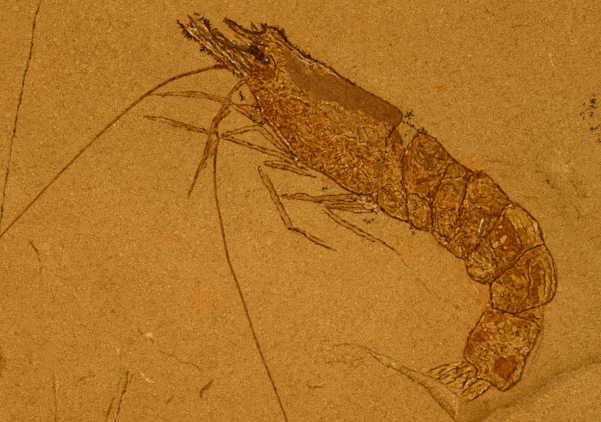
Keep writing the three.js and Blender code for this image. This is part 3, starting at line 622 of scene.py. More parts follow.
SHELL_LINES = [
    # the shield's back edge, its double line and the light line inside it
    (3.2, 0.02, 0.03, "263,25 272,28 280,31 282,36 289,44 295,48 301.5,53 308,57 317.5,62 325,64.6 330,68 "
                      "338,75 346,80 356,86 367,92 377,96.5 388,103.5 397,108.4 402,113"),
    (1.6, 0.10, 0.00, "284,44 291,50 298,56 305,60 313,64 322,68 333,74"),
    (1.2, 0.84, 0.02, "292,50 299,55 306,59.5 314,64.5 322,68 333,74 343,80 350,84"),
    (1.1, 0.66, 0.01, "286,42 292,47 299,53"),
    (1.6, 0.16, 0.02, "338,76 350,84 362,90.5 376,98 388,105 398,111"),
    # rear edge of the shield
    (2.2, 0.14, 0.00, "402,113 401,121 396,125 390,134 386.6,139.5 386,149"),
    (1.0, 0.36, 0.00, "386,149 384.5,156 383,163"),
    (2.2, 0.56, 0.02, "383,163 381,171 380,180 381,193 382.6,207"),
    (1.5, 0.20, 0.00, "396,120 393,126 390,131"),
    (1.1, 0.72, 0.01, "392,137 389,144 388.5,152"),
    (1.4, 0.26, 0.00, "370,195.4 376,192 381,188.4"),
    # belly edge of the shield
    (2.3, 0.15, 0.02, "245,78 250,88 254.5,96 258,102 261.7,115 270,125 277,135 288,148 296,156 305,163 "
                      "313.5,169 323,173 335,181 345,188.6 354.7,193.3 370,195.4 374,201 383,211"),
    (1.4, 0.20, 0.00, "268,126 277,138 286,147 296,159 308,167 318,172"),
    (1.0, 0.74, 0.01, "272,126 282,138 292,150 301,159 310,165.5"),
    (1.2, 0.25, 0.00, "262,104 268,116 277,127 285,138 294,149"),
    (1.0, 0.68, 0.01, "256,100 259,110 265,119"),
    # socket of the eye
    (2.0, 0.16, 0.02, "266,54 272,58 275,64 275.4,71 272,77"),
    (1.0, 0.80, 0.02, "268,56.5 271,59.5 272.6,63 272.8,68"),
    (1.2, 0.24, 0.00, "271,77 266,80 259,80 253,77"),
    (1.2, 0.22, 0.00, "256,66 262,69 267,70"),
    (1.1, 0.25, 0.00, "249,67 254,72 260,74 266,74"),
    (1.0, 0.66, 0.01, "257,63 262,66 268,67"),
    # rings and folds in the crust
    (1.3, 0.30, 0.02, "286,107 288,101.5 294,99 301,101 305,107 302,113 296,116 289,114 286,107"),
    (1.0, 0.60, 0.02, "289,107 291,103 295,101.5 300,103.5 302,107.5 299,112 294,113"),
    (1.1, 0.32, 0.02, "291,109 294,105 298,106 298,110 294,111"),
    (1.1, 0.34, 0.02, "321,104 328,105 335,109 339,113"),
    (1.1, 0.33, 0.02, "322,100 329,99.5 335,101 345,108 350,114"),
    (1.0, 0.64, 0.02, "321,102 329,102 336,105 343,111"),
    (1.2, 0.28, 0.03, "326,143 330,139 335,135.5 342,134"),
    (1.2, 0.66, 0.02, "329,142 333,138 338,137 342,137"),
    (1.4, 0.16, 0.00, "344,134 346,137 350,138.6 355,137"),
    (1.1, 0.70, 0.01, "345,131 350,134.5 356,134"),
    (1.3, 0.26, 0.00, "322,163 323,169 325,174"),
    (1.2, 0.28, 0.00, "340,170 350,168 360,167"),
    (1.3, 0.24, 0.00, "354,155 359,158 363,163 364,170"),
    (1.1, 0.28, 0.00, "330,166 337,164 344,165 351,161 356,157"),
    (1.2, 0.26, 0.00, "334,184 337,178 344,173 350,170"),
    (1.1, 0.28, 0.00, "366,178 370,184 371,192"),
    (1.0, 0.30, 0.00, "310,150 318,153 325,150 333,152 340,149"),
    (1.0, 0.30, 0.00, "300,135 306,141 314,142 322,146"),
    (1.0, 0.32, 0.00, "352,126 360,129 368,128 376,131"),
    (1.1, 0.28, 0.00, "355,140 362,143 370,142 376,146 380,152"),
    (1.3, 0.22, 0.00, "382,170 382.6,173"),
    (1.4, 0.18, 0.00, "397,173 398,175 399,177.5"),
    (1.3, 0.20, 0.00, "398,184 398.4,187"),
    (1.0, 0.30, 0.00, "270,88 277,94 284,96 292,95"),
    (1.0, 0.30, 0.00, "258,90 264,96 272,98 280,104"),
    # first ring of the abdomen
    (1.8, 0.16, 0.00, "402,121.7 407,124 412,126.7 419,132 424,134 430,136.5 437,141 444,149 451.5,158 "
                      "455,161"),
    (2.2, 0.15, 0.00, "419,133.7 413.5,140 410.7,146 405,152.6 402.5,159.6 403,164 404,172.7"),
    (1.7, 0.20, 0.00, "404,172.7 402,183.6 407,194.5 407,209 409,219"),
    (1.2, 0.24, 0.00, "410,143 405,150 400.5,156 400,163"),
    (2.0, 0.17, 0.00, "383,211 389,215 395,217.7 402,220.5 408.4,222 415,227 419,229.7 430,231"),
    (1.0, 0.88, 0.01, "404,144 407,150 404,156"),
    (1.1, 0.70, 0.01, "395,160 397,168 396,176"),
    (1.2, 0.30, 0.00, "386,196 392,200 398,199 404,203"),
    (1.2, 0.28, 0.00, "390,182 394,190 400,193 404,198"),
    (1.4, 0.22, 0.00, "381,190 386,186 391,184"),
    # second ring, its flap and the lines across it
    (2.2, 0.14, 0.00, "455,162 451,163.5 448,165.4 445,172 442,180 437,189 433.3,195.7"),
    (2.6, 0.10, 0.00, "433.3,195.7 434,199 432,204 432,212 432,221"),
    (1.8, 0.15, 0.00, "407,195.4 413,193.3 419,197 428,201 431.7,210 431.7,219 431,229"),
    (1.6, 0.18, 0.00, "406.5,208 408.6,218.6 415,227 422,230 429.6,231"),
    (1.1, 0.24, 0.00, "412,200 418,201 423,203 427,209 427,218 423,224"),
    (1.0, 0.66, 0.01, "410,198 416,197 422,200 429,206"),
    (1.1, 0.68, 0.01, "412,216 416,222 421,226"),
    (1.2, 0.26, 0.00, "414,153 415,159 420,164 426,166"),
    (1.1, 0.28, 0.00, "418,150 419,156 424,160 430,159 433,154"),
    (1.0, 0.30, 0.00, "423,149 425,153 429,153"),
    (1.1, 0.26, 0.00, "440,146 436,154 430,163 426,172"),
    (1.1, 0.28, 0.00, "445,150 440,160 434,168 429,178"),
    (1.1, 0.26, 0.00, "449,156 445,163 440,170 436,180 432,188"),
    (1.1, 0.70, 0.01, "438,176 435,184 431,191"),
    (1.3, 0.22, 0.00, "432,156 437,159 440,158"),
    (1.2, 0.70, 0.01, "404,186 410,189 417,192 426,196"),
    # third ring
    (2.6, 0.12, 0.02, "452,158 456,161.5 461,165 468,169.5 474,172.5"),
    (2.0, 0.15, 0.00, "474,173 472,175 467,182.4 466,189 465,196 460,209 459,216 460,224 461,231"),
    (1.4, 0.26, 0.00, "470,180 467,190 464,200 462,210"),
    (1.2, 0.28, 0.00, "440,190 444,186 450,184 457,186 463,184"),
    (1.2, 0.26, 0.00, "443,180 449,177 456,178 462,176"),
    (1.0, 0.90, 0.01, "462,186 459,194 457,202 456,212"),
    (1.0, 0.70, 0.01, "464,174 460,178 454,180"),
    (1.1, 0.26, 0.00, "437,206 443,209 449,207 455,210"),
    (1.8, 0.17, 0.00, "431,231 434,236 438,241 446,248 452,253 457,257 463,258 466,262"),
    (1.3, 0.22, 0.00, "444,246 450,242 456,236 461,231"),
    (1.2, 0.26, 0.00, "437,222 443,226 449,224 455,228 460,226"),
    (1.0, 0.70, 0.01, "440,230 446,233 452,231"),
    # fourth ring
    (2.2, 0.14, 0.00, "474,171 478,171 482,172 488,176 496,184 503,192 508,199 514,205"),
    (2.0, 0.16, 0.00, "512,203 505,205 502,211.5 497.5,219 492.7,227 487,236 480,243"),
    (1.8, 0.20, 0.00, "480,243 473,250 465,259"),
    (1.2, 0.24, 0.00, "468,200 470,210 468,220 464,228"),
    (1.3, 1.20, 0.03, "482.4,218 481,223 479.6,228 479,233"),
    (1.2, 0.22, 0.00, "485,220 483,228 481,236"),
    (1.1, 0.28, 0.00, "474,186 480,183 487,184 494,190 500,196"),
    (1.0, 0.28, 0.00, "476,196 482,198 488,196"),
    (1.1, 0.26, 0.00, "474,214 480,211 487,212 493,216"),
    (1.2, 0.24, 0.00, "478,203 484,205 489,209"),
    (1.0, 0.70, 0.01, "470,184 470,192 473,199"),
    # fifth ring
    (2.2, 0.14, 0.00, "513,200 520,206 528,213 536,222 541,233 543.5,244.3 548,251"),
    (1.8, 0.20, 0.00, "543.5,244.3 536.6,246.6 527,251 520,257 512,267 505,271"),
    (2.0, 0.17, 0.00, "505,271 500,276 494,281 490.4,286 489,292"),
    (2.0, 0.16, 0.00, "466,262 466,265 469,275.6 475.4,280 482,282 490,283.3 491,290 491,297 492,303 "
                      "494,308"),
    (1.8, 0.22, 0.00, "505,215 511,224 516,232 520,240 522,250"),
    (1.6, 0.20, 0.00, "490,236 491,244 494,252 499,258 504,263"),
    (1.2, 0.24, 0.00, "480,238 484,246 490,250"),
    (1.1, 0.26, 0.00, "506,210 502,220 498,230"),
    (1.3, 0.84, 0.01, "487,262 491,267 488,272"),
    (1.0, 0.72, 0.01, "531,220 536,230 538,240"),
    (1.1, 0.30, 0.00, "527,214 532,224 535,236 534,243"),
    (1.2, 0.30, 0.00, "515,214 521,222 526,232 530,241"),
    # sixth ring
    (1.5, 0.20, 0.00, "548,251 553.6,264 555,278 555,291.6 551.2,300 541,305.4"),
    (1.9, 0.17, 0.00, "541,305.4 534,307.5 528.5,309 518,312.4 512,313.5 501,311 494,308"),
    (1.2, 0.24, 0.00, "541,262 544,272 545,284 543,296"),
    (1.0, 0.74, 0.01, "543,262 547,272 548,284 546,294"),
    (1.1, 0.26, 0.00, "549,262 551.5,274 551.5,286 548,297"),
    (1.4, 0.22, 0.00, "527,262 529,274 529,288 525,302"),
    (1.2, 0.26, 0.00, "514,262 519,266 526,264 530,258"),
    (1.1, 0.28, 0.00, "506,286 509,294 512,304"),
    (1.2, 0.26, 0.00, "510,276 514,286 520,290"),
    (1.1, 0.74, 0.01, "496,290 500,287 505,289"),
    (1.2, 0.22, 0.00, "520,268 524,272 527,280"),
    # last ring
    (1.8, 0.17, 0.00, "485.8,309 482,316 478,322 471,333.5 467,343 464,352 463.3,356 469,362 474.5,366 "
                      "477,370 "
                      "477,378 483,379 489,381.4 497.7,387.7 503.3,390.5"),
    (1.4, 0.20, 0.01, "503.3,390.5 508,388 512,385 519,379 521,372 523.7,364.4 527,355 531,351 535,339 "
                      "538.4,332 540.5,328.6"),
    (1.8, 0.17, 0.00, "540.5,328.6 537,324 534,321 523.7,319 513,314.6 503,311 495.6,308"),
    (1.6, 0.20, 0.00, "518,317 526,317 534,317.5 541,319"),
    (1.1, 0.24, 0.00, "528,322 530,330 526,338 520,342"),
    (1.1, 0.26, 0.00, "497,334 501,339 499,346 504,352"),
    (1.1, 0.27, 0.00, "478,345 484,350 491,350 497,355"),
    (1.0, 0.92, 0.01, "475,324 471,330 468.6,335"),
    (1.0, 0.84, 0.01, "331,142 335,137 341,134.5 347,136 351,140"),
    (1.1, 0.20, 0.00, "343,134 348,137 353,139 358,138"),
    (1.1, 0.22, 0.00, "360,156 362,161 363,166 360,170"),
    (1.0, 0.80, 0.01, "283,100 288,97 294,96 300,98 304,103"),
    (1.1, 0.24, 0.00, "286,104 292,100 299,101 303,106 302,113"),
    (1.0, 0.90, 0.01, "496,340 503,344 510,342 516,346"),
    (1.0, 0.90, 0.01, "484,352 490,357 494,364"),
    (1.1, 0.72, 0.01, "479,362 484,368 482,375"),
    (1.2, 0.25, 0.00, "471,352 477,358 484,362 489,370"),
    # tail fan
    (1.4, 0.16, 0.02, "460.5,360.7 455,362 449,364 438,367 432,369.5 426,372.6"),
    (1.2, 0.22, 0.00, "459,367 453.5,369.5 445,373 436,379"),
    (1.3, 0.20, 0.00, "470,371 464,373.7 458.4,376 453.5,380.7 447,383"),
    (1.4, 0.20, 0.00, "470,371 468,375 466,379 462.6,387.7"),
    (1.3, 0.20, 0.00, "476,381.4 469.6,386 461,394"),
    (1.0, 0.20, 0.00, "477,383.5 470,390 464.7,396.8"),
    (1.6, 0.14, 0.02, "490.7,385 486,390 479.5,394.7 473,399 467.5,401"),
    (1.2, 0.26, 0.00, "485,386 478,391 470,396"),
    (1.3, 0.84, 0.02, "458,362.6 450,366 442,369"),
    (1.3, 0.80, 0.02, "455,374 450,378 446,382"),
    (1.4, 0.84, 0.02, "482,387 475,393 467,398"),
    (1.3, 0.80, 0.02, "463,376 458,384 455,388"),
    (1.3, 0.80, 0.02, "474,377 468,383 464,389"),
    # rostrum, its teeth and crest
    (3.6, 0.02, 0.02, "226,20 231,22 236,25 245,31 252,34 260,33 266,31"),
    (3.0, 0.06, 0.02, "229,24 234,30 240,34 247,38 255,42 262,45 268,46"),
    (1.8, 0.26, 0.02, "231,25 237,29 244,33.5 251,37 259,39.5"),
    (1.2, 0.56, 0.02, "238,29.5 243,33 249,35.5"),
    (1.6, 0.10, 0.02, "233,33 241,40 249,47"),
    (1.2, 0.66, 0.02, "232,31 240,37.5 248,43.5 254,47"),
    (3.2, 0.06, 0.03, "246,30 254,33 262,33"),
    (2.8, 0.04, 0.03, "251,22 253.5,26 258,30.5"),
    (1.2, 0.70, 0.01, "252.5,26.5 254,29"),
    (4.4, 0.02, 0.04, "262,24 264,27 267,31"),
    (4.2, 0.04, 0.04, "268,27 273,28 278,31 282,36 287,42"),
    (1.5, 0.20, 0.02, "270,33 275,38 281,41 287,46"),
    (1.3, 0.22, 0.02, "262,36 268,41 276,43 282,48"),
    (1.1, 0.72, 0.02, "268,45 272,43 277,46"),
    (1.2, 0.22, 0.00, "276,50 280,52 284,55 288,60"),
    (1.3, 0.66, 0.02, "264,38 269,40 272,44"),
    (1.2, 0.22, 0.00, "277,62 279,68 278,75 276,82"),
]

RAY_LINES = [
    (2.6, 0.06, 0.03, "179,23 188,33 200,43 211,52 222,61 231,69 243,78"),
    (1.8, 0.08, 0.02, "190,30 203,41 214,52 224,61 238,72 244,77"),
    (1.2, 0.66, 0.03, "184,26 196,37 208,47 219,56.5 230,66 240,74"),
    (1.8, 0.08, 0.03, "190,22 200,33 213,46 225,57 240,70"),
    (1.7, 0.08, 0.02, "206,31 218,44 228,54 240,66 246,71"),
    (1.7, 0.08, 0.02, "204,22 214,37 226,47 236,55"),
    (1.7, 0.08, 0.03, "208,28 222,44 238,57 252,69"),
    (2.6, 0.06, 0.02, "206,23.5 211,33 219.6,41 230.5,46.5 240,49.5 252,52"),
    (1.5, 0.24, 0.01, "187,14 194,22 202,30 210,40"),
    (1.3, 0.86, 0.02, "206,46 213,52 220,58"),
    (1.3, 0.90, 0.02, "233,60 240,67"),
    (1.3, 0.92, 0.02, "234,70 241,74"),
    (1.1, 0.68, 0.02, "237,56 241,60 246,65"),
    (1.1, 0.68, 0.02, "226,33 233,38 239,44"),
    (2.0, 0.86, 0.02, "244.5,73 247.5,76"),
    (1.0, 0.62, 0.02, "212,40 219,48 227,56"),
    (1.1, 0.66, 0.02, "200,38 208,45 216,52"),
    (1.4, 0.10, 0.02, "222,44 231,49 240,53 249,57"),
    (1.0, 0.60, 0.02, "228,50 238,56 246,60"),
    (1.5, 0.16, 0.02, "216,34 224,38 232,44 240,47"),
    (1.4, 0.10, 0.02, "243,56 249,62 254,67 258,74"),
    (1.4, 0.10, 0.02, "238,60 246,67 252,74"),
    (1.4, 0.18, 0.00, "252,74 258,80 264,84"),
]

# Fine fibres run along the head's rays.
win = Window(176, 262, 12, 84)
RAY_BEARING = 40
ray_u, ray_v = along_grain(win.u, win.v, RAY_BEARING, 9)
fading = 1 - smoothstep(win.u, 244, 258)
tone[win.cut] += 0.84 * fading * (noise(ray_u, ray_v, 1.5, 45, 2) - 0.49)

# Fibres run along the tail fan too.
win = Window(420, 500, 352, 408)
FAN_BEARING = -27
FAN_OUTLINE = "420,374 460,356 466,364 477,372 480,379 500,386 470,408 446,394"
fan_u, fan_v = along_grain(win.u, win.v, FAN_BEARING, 7)
on_fan = smoothstep(inside_distance(points(FAN_OUTLINE), win), -2, 2)
tone[win.cut] += 0.46 * on_fan * (noise(fan_u, fan_v, 1.9, 47, 2) - 0.5)
rust[win.cut] *= 1 - 0.7 * on_fan

for k, (width, value, height, place) in enumerate(SHELL_LINES + RAY_LINES):
    seam(width, value, place, SEAM_SEED + k)
    if width > 1.4 and value < 0.24 and k < len(SHELL_LINES):
        draw(stone, min(width, 2.0), 0.10, place, 0.85, 0.9, 0.9, (2, 2), seed=SEAM_SEED + k)
        draw(stain, min(width, 2.0) + 1.2, 1.0, place, 0.95, 0.9, 0.7, seed=SEAM_SEED + k)
        mesh_finely(place, 0.5 * width + 1, 3)
    emboss(lift, width * 1.6, height or (-0.05 if value < 0.5 else 0.02), place, seed=SEAM_SEED + k)

SHELL_SPOTS = [
    # value, place, radii
    (0.72, 483, 325, 1.8, 1.6), (0.68, 492, 327, 1.9, 1.6), (0.68, 501, 331, 2.0, 1.7),
    (0.72, 514, 329, 2.6, 2.2), (0.76, 508, 322, 1.8, 1.6), (0.70, 516, 372, 2.2, 1.8),
    (0.86, 310.5, 88, 0.8, 0.7), (0.80, 330.5, 91, 0.7, 0.7), (0.84, 480.5, 170.5, 1.1, 0.9),
    (0.20, 480.6, 208.5, 1.4, 1.3), (0.78, 478.6, 206.8, 1.0, 0.9), (0.22, 501, 229, 1.3, 1.1),
    (0.80, 503, 239.5, 4.6, 2.4), (0.76, 495.5, 244.5, 3.6, 2.2), (0.74, 500, 227, 2.0, 1.4),
    (0.24, 377, 125, 1.4, 1.0), (0.80, 371, 133, 1.5, 0.9), (0.84, 266.4, 48.5, 1.2, 1.0),
    (0.84, 262, 43, 1.0, 0.9), (0.80, 258, 98, 1.0, 1.0), (0.82, 282, 86, 1.4, 1.1),
    (0.80, 488, 305, 1.4, 1.0), (0.22, 406, 135, 1.0, 0.9), (0.24, 410, 130, 0.9, 0.8),
    (0.24, 403, 142, 0.9, 0.8), (0.20, 458, 220, 1.4, 1.0), (0.78, 452, 235, 1.8, 1.2),
]
GOLDEN_BEDS = [
    # middle, spread along and across, count: golden crumbs on the last rings
    (500, 340, 20, 16, 30),
    (500, 290, 9, 9, 8),
    (498, 240, 9, 8, 8),
]
CHEEK_CRUMBS = 26
rng = np.random.default_rng(8)
for u, v, spread_u, spread_v, count in GOLDEN_BEDS:
    for _ in range(count):
        size = 0.5 + 1.1 * rng.random() ** 2
        value = rng.uniform(0.66, 0.80)
        spot_u, spot_v = u + rng.normal() * spread_u / 2, v + rng.normal() * spread_v / 2
        SHELL_SPOTS.append((value, spot_u, spot_v, size * rng.uniform(1, 1.5), size))
for _ in range(CHEEK_CRUMBS):
    size = rng.uniform(0.6, 1.3)
    value = rng.uniform(0.12, 0.28)
    SHELL_SPOTS.append((value, 263 + 6.5 * rng.normal(), 74 + 6 * rng.normal(), 1.4 * size, size))
for k, (value, u, v, ru, rv) in enumerate(SHELL_SPOTS):
    blot(tone, value, u, v, ru, rv, 25 * k, 0.9, seed=SPOT_SEED + k)
DARK_RIMS = [(487, 358, 3), (483, 325, 2.6), (501, 331, 2.8)]
for k, (u, v, radius) in enumerate(DARK_RIMS):
    angles = np.linspace(0, 2 * math.pi, 9)
    circle = written([(u + radius * math.cos(a), v + radius * math.sin(a)) for a in angles], 2)
    draw(tone, 0.9, 0.28, circle, 0.8, seed=RIM_SEED + k)

# The shield's smooth film: duller and greyer at its front end, redder behind.
win = Window(280, 405, 55, 130)
axis_u, axis_v = along_grain(win.u, win.v, BODY_BEARING, 6)
film_tone = (0.47 + 0.14 * (noise(win.u, win.v, 20, 71, 2) - 0.5)
             + 0.14 * (noise(win.u, win.v, 5, 72, 3) - 0.5)
             + 0.34 * (noise(win.u, win.v, 1.2, 73, 2) - 0.5)
             + 0.14 * (noise(axis_u, axis_v, 1.6, 74, 2) - 0.5))
film_tone -= 0.05 * smoothstep(win.u, 300, 370)
film_tone -= 0.08 * np.exp(-(np.hypot(win.u - 389, (win.v - 114) * 1.2) / 6) ** 2)
tone[win.cut] = tone[win.cut] * (1 - film[win.cut]) + film[win.cut] * film_tone


PALE, DEEP = 0.60, 0.32


def sharpen(layer, sigma, amount):
    """Brings out what is finer than sigma raster steps."""
    layer += amount * (layer - blur(layer, sigma))


sharpen(tone[FOSSIL.cut], 2.4, 0.85)
view = tone[FOSSIL.cut]
dimmed = np.where(view > PALE, -0.38 * (view - PALE), 0)
lifted = np.where(view < DEEP, 0.45 * (DEEP - view), 0)
view += dimmed + lifted - 0.01

# ---- marks on the slab: width, tone, relief, place -------------------------------------------------

STONE_LINES = [
    # the old hairline crack at the left
    (1.2, 0.18, -0.10, "46,-64 44,-30 40.7,0 38,10 33.7,28 31,53 25,74 21,97 15,127 10,157 4.6,192 0,226 "
                       "-6,262 -15,300 -30,350 -40,420 -52,486"),
    (1.2, 0.20, -0.06, "27.7,241 33,246 37,252 39,259 41.6,265.5"),
    (1.0, 0.32, -0.03, "41.6,265.5 40,276 41,286"),
    (1.0, 0.38, -0.03, "48,275 50,284 53,296 55,306"),
    (1.0, 0.60, 0.03, "50,286 52,276 57,268"),
    (1.1, 0.36, -0.03, "53,368 54,384 55.7,400 56,422 57,450"),
    # Painted light on the lit wall of the crack.
    (1.0, 0.68, 0.04, "56,372 58,386 57,402"),
    # Scars at the lower left, grooves and chips with a little relief: their dark lines are the grooves' own
    # dark and painted shade together, their light lines painted light on the faces turned to the lamp.
    (2.8, 0.28, -0.10, "128,370 127,380 125,389 121,399 118,410 115,421 110,440"),
    (1.7, 0.34, -0.05, "135,372 132,378 129,386"),
    (2.3, 0.29, -0.08, "116,395 112,404 109,412 106,421 101,432"),
    (1.4, 0.38, -0.04, "122,376 119,386 117,394"),
    (1.2, 0.38, -0.03, "113,403 114,410 113,418"),
    (1.5, 0.71, 0.05, "139,371 143,375.5 146,379.5 151,382.5 156,383"),
    (2.0, 0.28, -0.10, "140,325 138.6,329.6 141,333 144,336.5"),
    (1.8, 0.27, -0.08, "148.6,336.5 151.6,340 153.6,343 151.4,346.5"),
    (2.6, 0.68, 0.08, "147.6,332.6 151.6,335.6 154.4,340"),
    (1.1, 0.35, -0.04, "158,351 166,354 174,357.5 181,362 189,363 196,366.5 204.4,374"),
    (2.5, 0.28, -0.07, "214.5,379.5 208,386 202.5,391 201,399"),
    (1.9, 0.30, -0.04, "236,387.6 235,390 234,393"),
    (1.4, 0.34, -0.05, "175,396.5 168,402.5 165,406.5"),
    (1.4, 0.36, -0.04, "121.6,354 121,359 122,365"),
    (1.5, 0.33, -0.06, "78,381 84,378 91,375.4 97,375"),
    (1.2, 0.28, -0.06, "325,364 331,362.6 338,362 343,363 347,362.6"),
    (1.0, 0.34, -0.04, "347,362.6 356,360 364,358"),
    (1.2, 0.28, -0.05, "306,389 311,387 320,388 325.6,384.4"),
    (1.0, 0.70, 0.03, "311,384.6 320,385 325,382"),
    (1.0, 0.32, -0.03, "320,340 325,341 330,340"),
    (1.1, 0.26, -0.04, "412,52 414,55 416,58.6"),
    (1.1, 0.26, -0.04, "425,59 427,63 429.4,68"),
    (1.2, 0.70, 0.02, "549,52 551,58 553,64 555,70"),
    (1.0, 0.34, -0.02, "509,30 515,27 521,25 528,26 533,26"),
    (1.0, 0.34, -0.02, "482,4 486,9 491,14 500,17"),
    # Painted light beside the scars at the lower left.
    (1.1, 0.66, 0.03, "123,388 119,402 114,420 108,436"),
    (1.4, 0.45, 0.00, "541,304 543.6,312 543.6,322 541,331"),
    (1.0, 0.34, -0.03, "397,228 398,238 398,248"),
    (1.0, 0.30, -0.03, "373,244 374,247 375,250"),
    (1.0, 0.30, 0.00, "387,240 393,246 397,252 401,257.5 406.5,265 413,269"),
    (1.0, 0.34, 0.00, "415,275.6 422,283 431,293"),
    (1.0, 0.38, 0.00, "436,296 444,300 451.5,304 462,310"),
    # lip and foot of the step behind the tail
    (1.2, 0.30, 0.00, "333,346 341,344.3 352,344.5 360,345.6 368.6,349.3 376,352.6 383,355.7 "
                      "395.7,360.7 400,364"),
    (1.1, 0.30, 0.00, "400,364 409,369.5 423,374.3 432,378 440.4,383.6 448.6,389.3 455.7,394.3 458,399"),
    (1.4, 0.24, 0.00, "364,351.4 370,353.6 377,358.6 383,365 393,366.2"),
    (1.3, 0.26, 0.00, "391,368 400,371.4 405.7,375.7 414,380.7 425.7,387 430,393"),
    (1.3, 0.28, 0.00, "430,393 438.6,402.9 448.6,412.9 455,419.3 462,428"),
    (1.0, 0.32, 0.00, "436,392 444,399 452,409 456,418"),
    (1.2, 0.62, 0.00, "366,350.5 376,355 388,361 398,366"),
    (1.6, 0.64, 0.00, "440,386 448,391.5 455,397.5"),
    (1.2, 0.62, 0.00, "458,398 457.5,406 456.5,414 457,420"),
    # A dark line along the sharp lower edge of the painted shade under the step's right arm.
    (1.5, 0.34, 0.00, "560,375.5 550,381 540,388 527,398 513,405 500,408.5 487,413"),
    (1.1, 0.32, 0.00, "490,400 487,405 488,411"),
    # faint outline in front of the tail's ventral side
    (1.1, 0.34, -0.03, "466,268 467,276 470,282 474,287"),
    (1.1, 0.72, 0.02, "472,284 477,290 480,296"),
    (1.0, 0.36, 0.00, "461,284 467,292 474,298 480,301"),
    # outline of the back, doubled beyond the rings
    (1.2, 0.30, 0.00, "545,325 541,340 537,350 531,364 525,377"),
    (1.2, 0.70, 0.02, "543,320 540,330 537,342"),
    (1.0, 0.34, 0.00, "404,113 410,116 416,122 422,128"),
    # long faint cracks right of the back; the light lines among them are painted light on the edges of low
    # steps
    (1.2, 0.34, -0.03, "482,158 490,161 498,162 508,165 526,165"),
    (1.0, 0.34, -0.03, "517,193 526,197 539,196.6"),
    (1.3, 0.24, -0.03, "575,206 578,211 579.4,217 577.4,223"),
    (1.4, 0.28, -0.03, "533,171 538,171.4 544,172.4"),
    (1.5, 0.26, -0.03, "547,178 548.4,182 553,185.4"),
    (1.3, 0.32, -0.03, "568,177 573,183 576,188 578.6,197"),
    (1.2, 0.30, -0.02, "555.6,206 558,212"),
    (1.2, 0.68, 0.03, "558,152 560,160 565,170 572,180"),
    (1.4, 0.68, 0.03, "573,226 577,223"),
    (1.0, 0.28, -0.02, "582,195.6 586,196.6 590,198.4"),
    (1.1, 0.32, -0.03, "546,178 550,184 556,190"),
    (1.0, 0.34, -0.03, "554,204 558,211"),
    (1.0, 0.36, -0.02, "586,242 593,238.6 601,236"),
    (1.0, 0.64, 0.03, "556,148 562,156 566,168 572,178"),
]
LEFT_HOLLOW = "7,361 0,345 -14,338 -40,331 -80,322 -80,402 -40,391 -14,384 0,376"
STONE_AREAS = [
    # value, strength, feather, outline
    (0.40, 0.60, 3, "497,168 515,172 508,178 516,190 506,184 498,176"),
    (0.30, 0.80, 1.5, LEFT_HOLLOW),
    (0.52, 0.80, 2, "366,350 385,358 400,366 424,377 446,391 458,400 456,418 440,398 424,384 400,369 "
                    "382,363"),
    (0.38, 0.80, 2, "457,402 464,396 478,398 489,402 487,413 478,424 470,440 456,440 458,420"),
    # Painted shade on the face of the step, along its foot.
    (0.34, 0.75, 1.2, "428,389 436,393 444,400 452,410 456,419 448,413 438,403 431,395"),
    # The faint steps right of the back: painted shade on their faces, then painted light on their lit edges.
    (0.42, 0.55, 5, "482,156 500,160 530,166 520,170 496,166"),
    (0.41, 0.55, 4, "532,160 546,168 560,184 574,200 566,204 550,190 538,176"),
    (0.42, 0.50, 4, "566,158 578,172 586,190 580,194 568,176"),
    (0.43, 0.50, 5, "556,198 570,206 574,226 586,240 574,238 560,216"),
    (0.57, 0.50, 3, "544,152 556,158 566,172 570,186 558,176 548,164"),
    (0.56, 0.50, 3, "574,196 584,204 588,214 580,210"),
    (0.56, 0.40, 6, "236,90 262,104 276,132 262,128 244,110"),
    (0.60, 0.50, 8, "300,36 350,52 400,90 420,112 396,96 350,66"),
    (0.44, 0.35, 4, "452,155 470,160 490,166 480,160 462,150"),
    (0.42, 0.70, 3, "474,288 486,290 490,304 482,310 476,302"),
    (0.47, 0.50, 9, UNDER_LEGS),
    (0.36, 0.70, 2, "249,94 254,94 262,110 268,122 262,120 254,108"),
    (0.36, 0.70, 2, "426,231 436,237 446,247 440,251 430,242"),
    (0.32, 0.70, 2, "283,147 292,152 300,160 294,162 286,156"),
    (0.36, 0.70, 2, "318,176 330,179 342,186 338,190 326,186"),
    (0.44, 0.60, 4, UNDER_RINGS),
    (0.58, 0.70, 2, "432,390 446,400 452,410 442,404 433,397"),
]
for value, strength, feather, outline in STONE_AREAS:
    patch(stone, value, outline, feather, strength, 3.0, seed=11)

STONE_SHADE_BANKS = [
    # value, reach, strength, place: painted shade on the step behind the tail, beside the last ring and
    # beside the crack at the left; sharp on the right hand, fading to the left
    (0.27, 9, 0.85, "470,436 478,424 490,415 500,408.5 510,404 522,398 530,392 545,384 558,375 575,370.5 "
                    "590,364.5 601,362 640,352 690,340"),
    (0.33, 1.8, 0.80, "398,371 406,376 414,381 426,387.4 431,394 439,403 449,413 456,420 462,430"),
    (0.38, 4, 0.60, "545,332 540,345 534,358 527,372 516,386 504,394"),
    (0.40, 1.6, 0.6, "57,450 56,422 55.7,400 54,384 53,368"),
]
for k, (value, reach, strength, place) in enumerate(STONE_SHADE_BANKS):
    painted_shade_bank(stone, value, reach, strength, place, seed=BANK_SEED + k)

MARK_GAIN = 1.35
for k, (width, value, height, place) in enumerate(STONE_LINES):
    shade = 0.5 + MARK_GAIN * (value - 0.5)
    draw(stone, 1.1 * width, shade, place, 0.95, 0.9, 0.8, (4, 4), seed=MARK_SEED + k)
    if height:
        emboss(stone_lift, width * 1.8, 1.3 * height, place, taper=(4, 4), seed=MARK_SEED + k)
    mesh_finely(place, width * 0.5 + 1.4, width * 0.5 + 2.4)

# Short cracks stand across the foot of the step.
for k, (u, v) in enumerate(curve("401,369.5 412,377 424,384.5 434,395 444,405 453,415", 3.1)):
    crossing = written([(u + 1.4, v - 2.2), (u - 1.6, v + 2.4)])
    draw(stone, 1.1, 0.18, crossing, 0.7, 0.8, 0.8, seed=CRACK_SEED + k)
    blot(detail, FINEST, u, v, 4, 4, ragged=0)

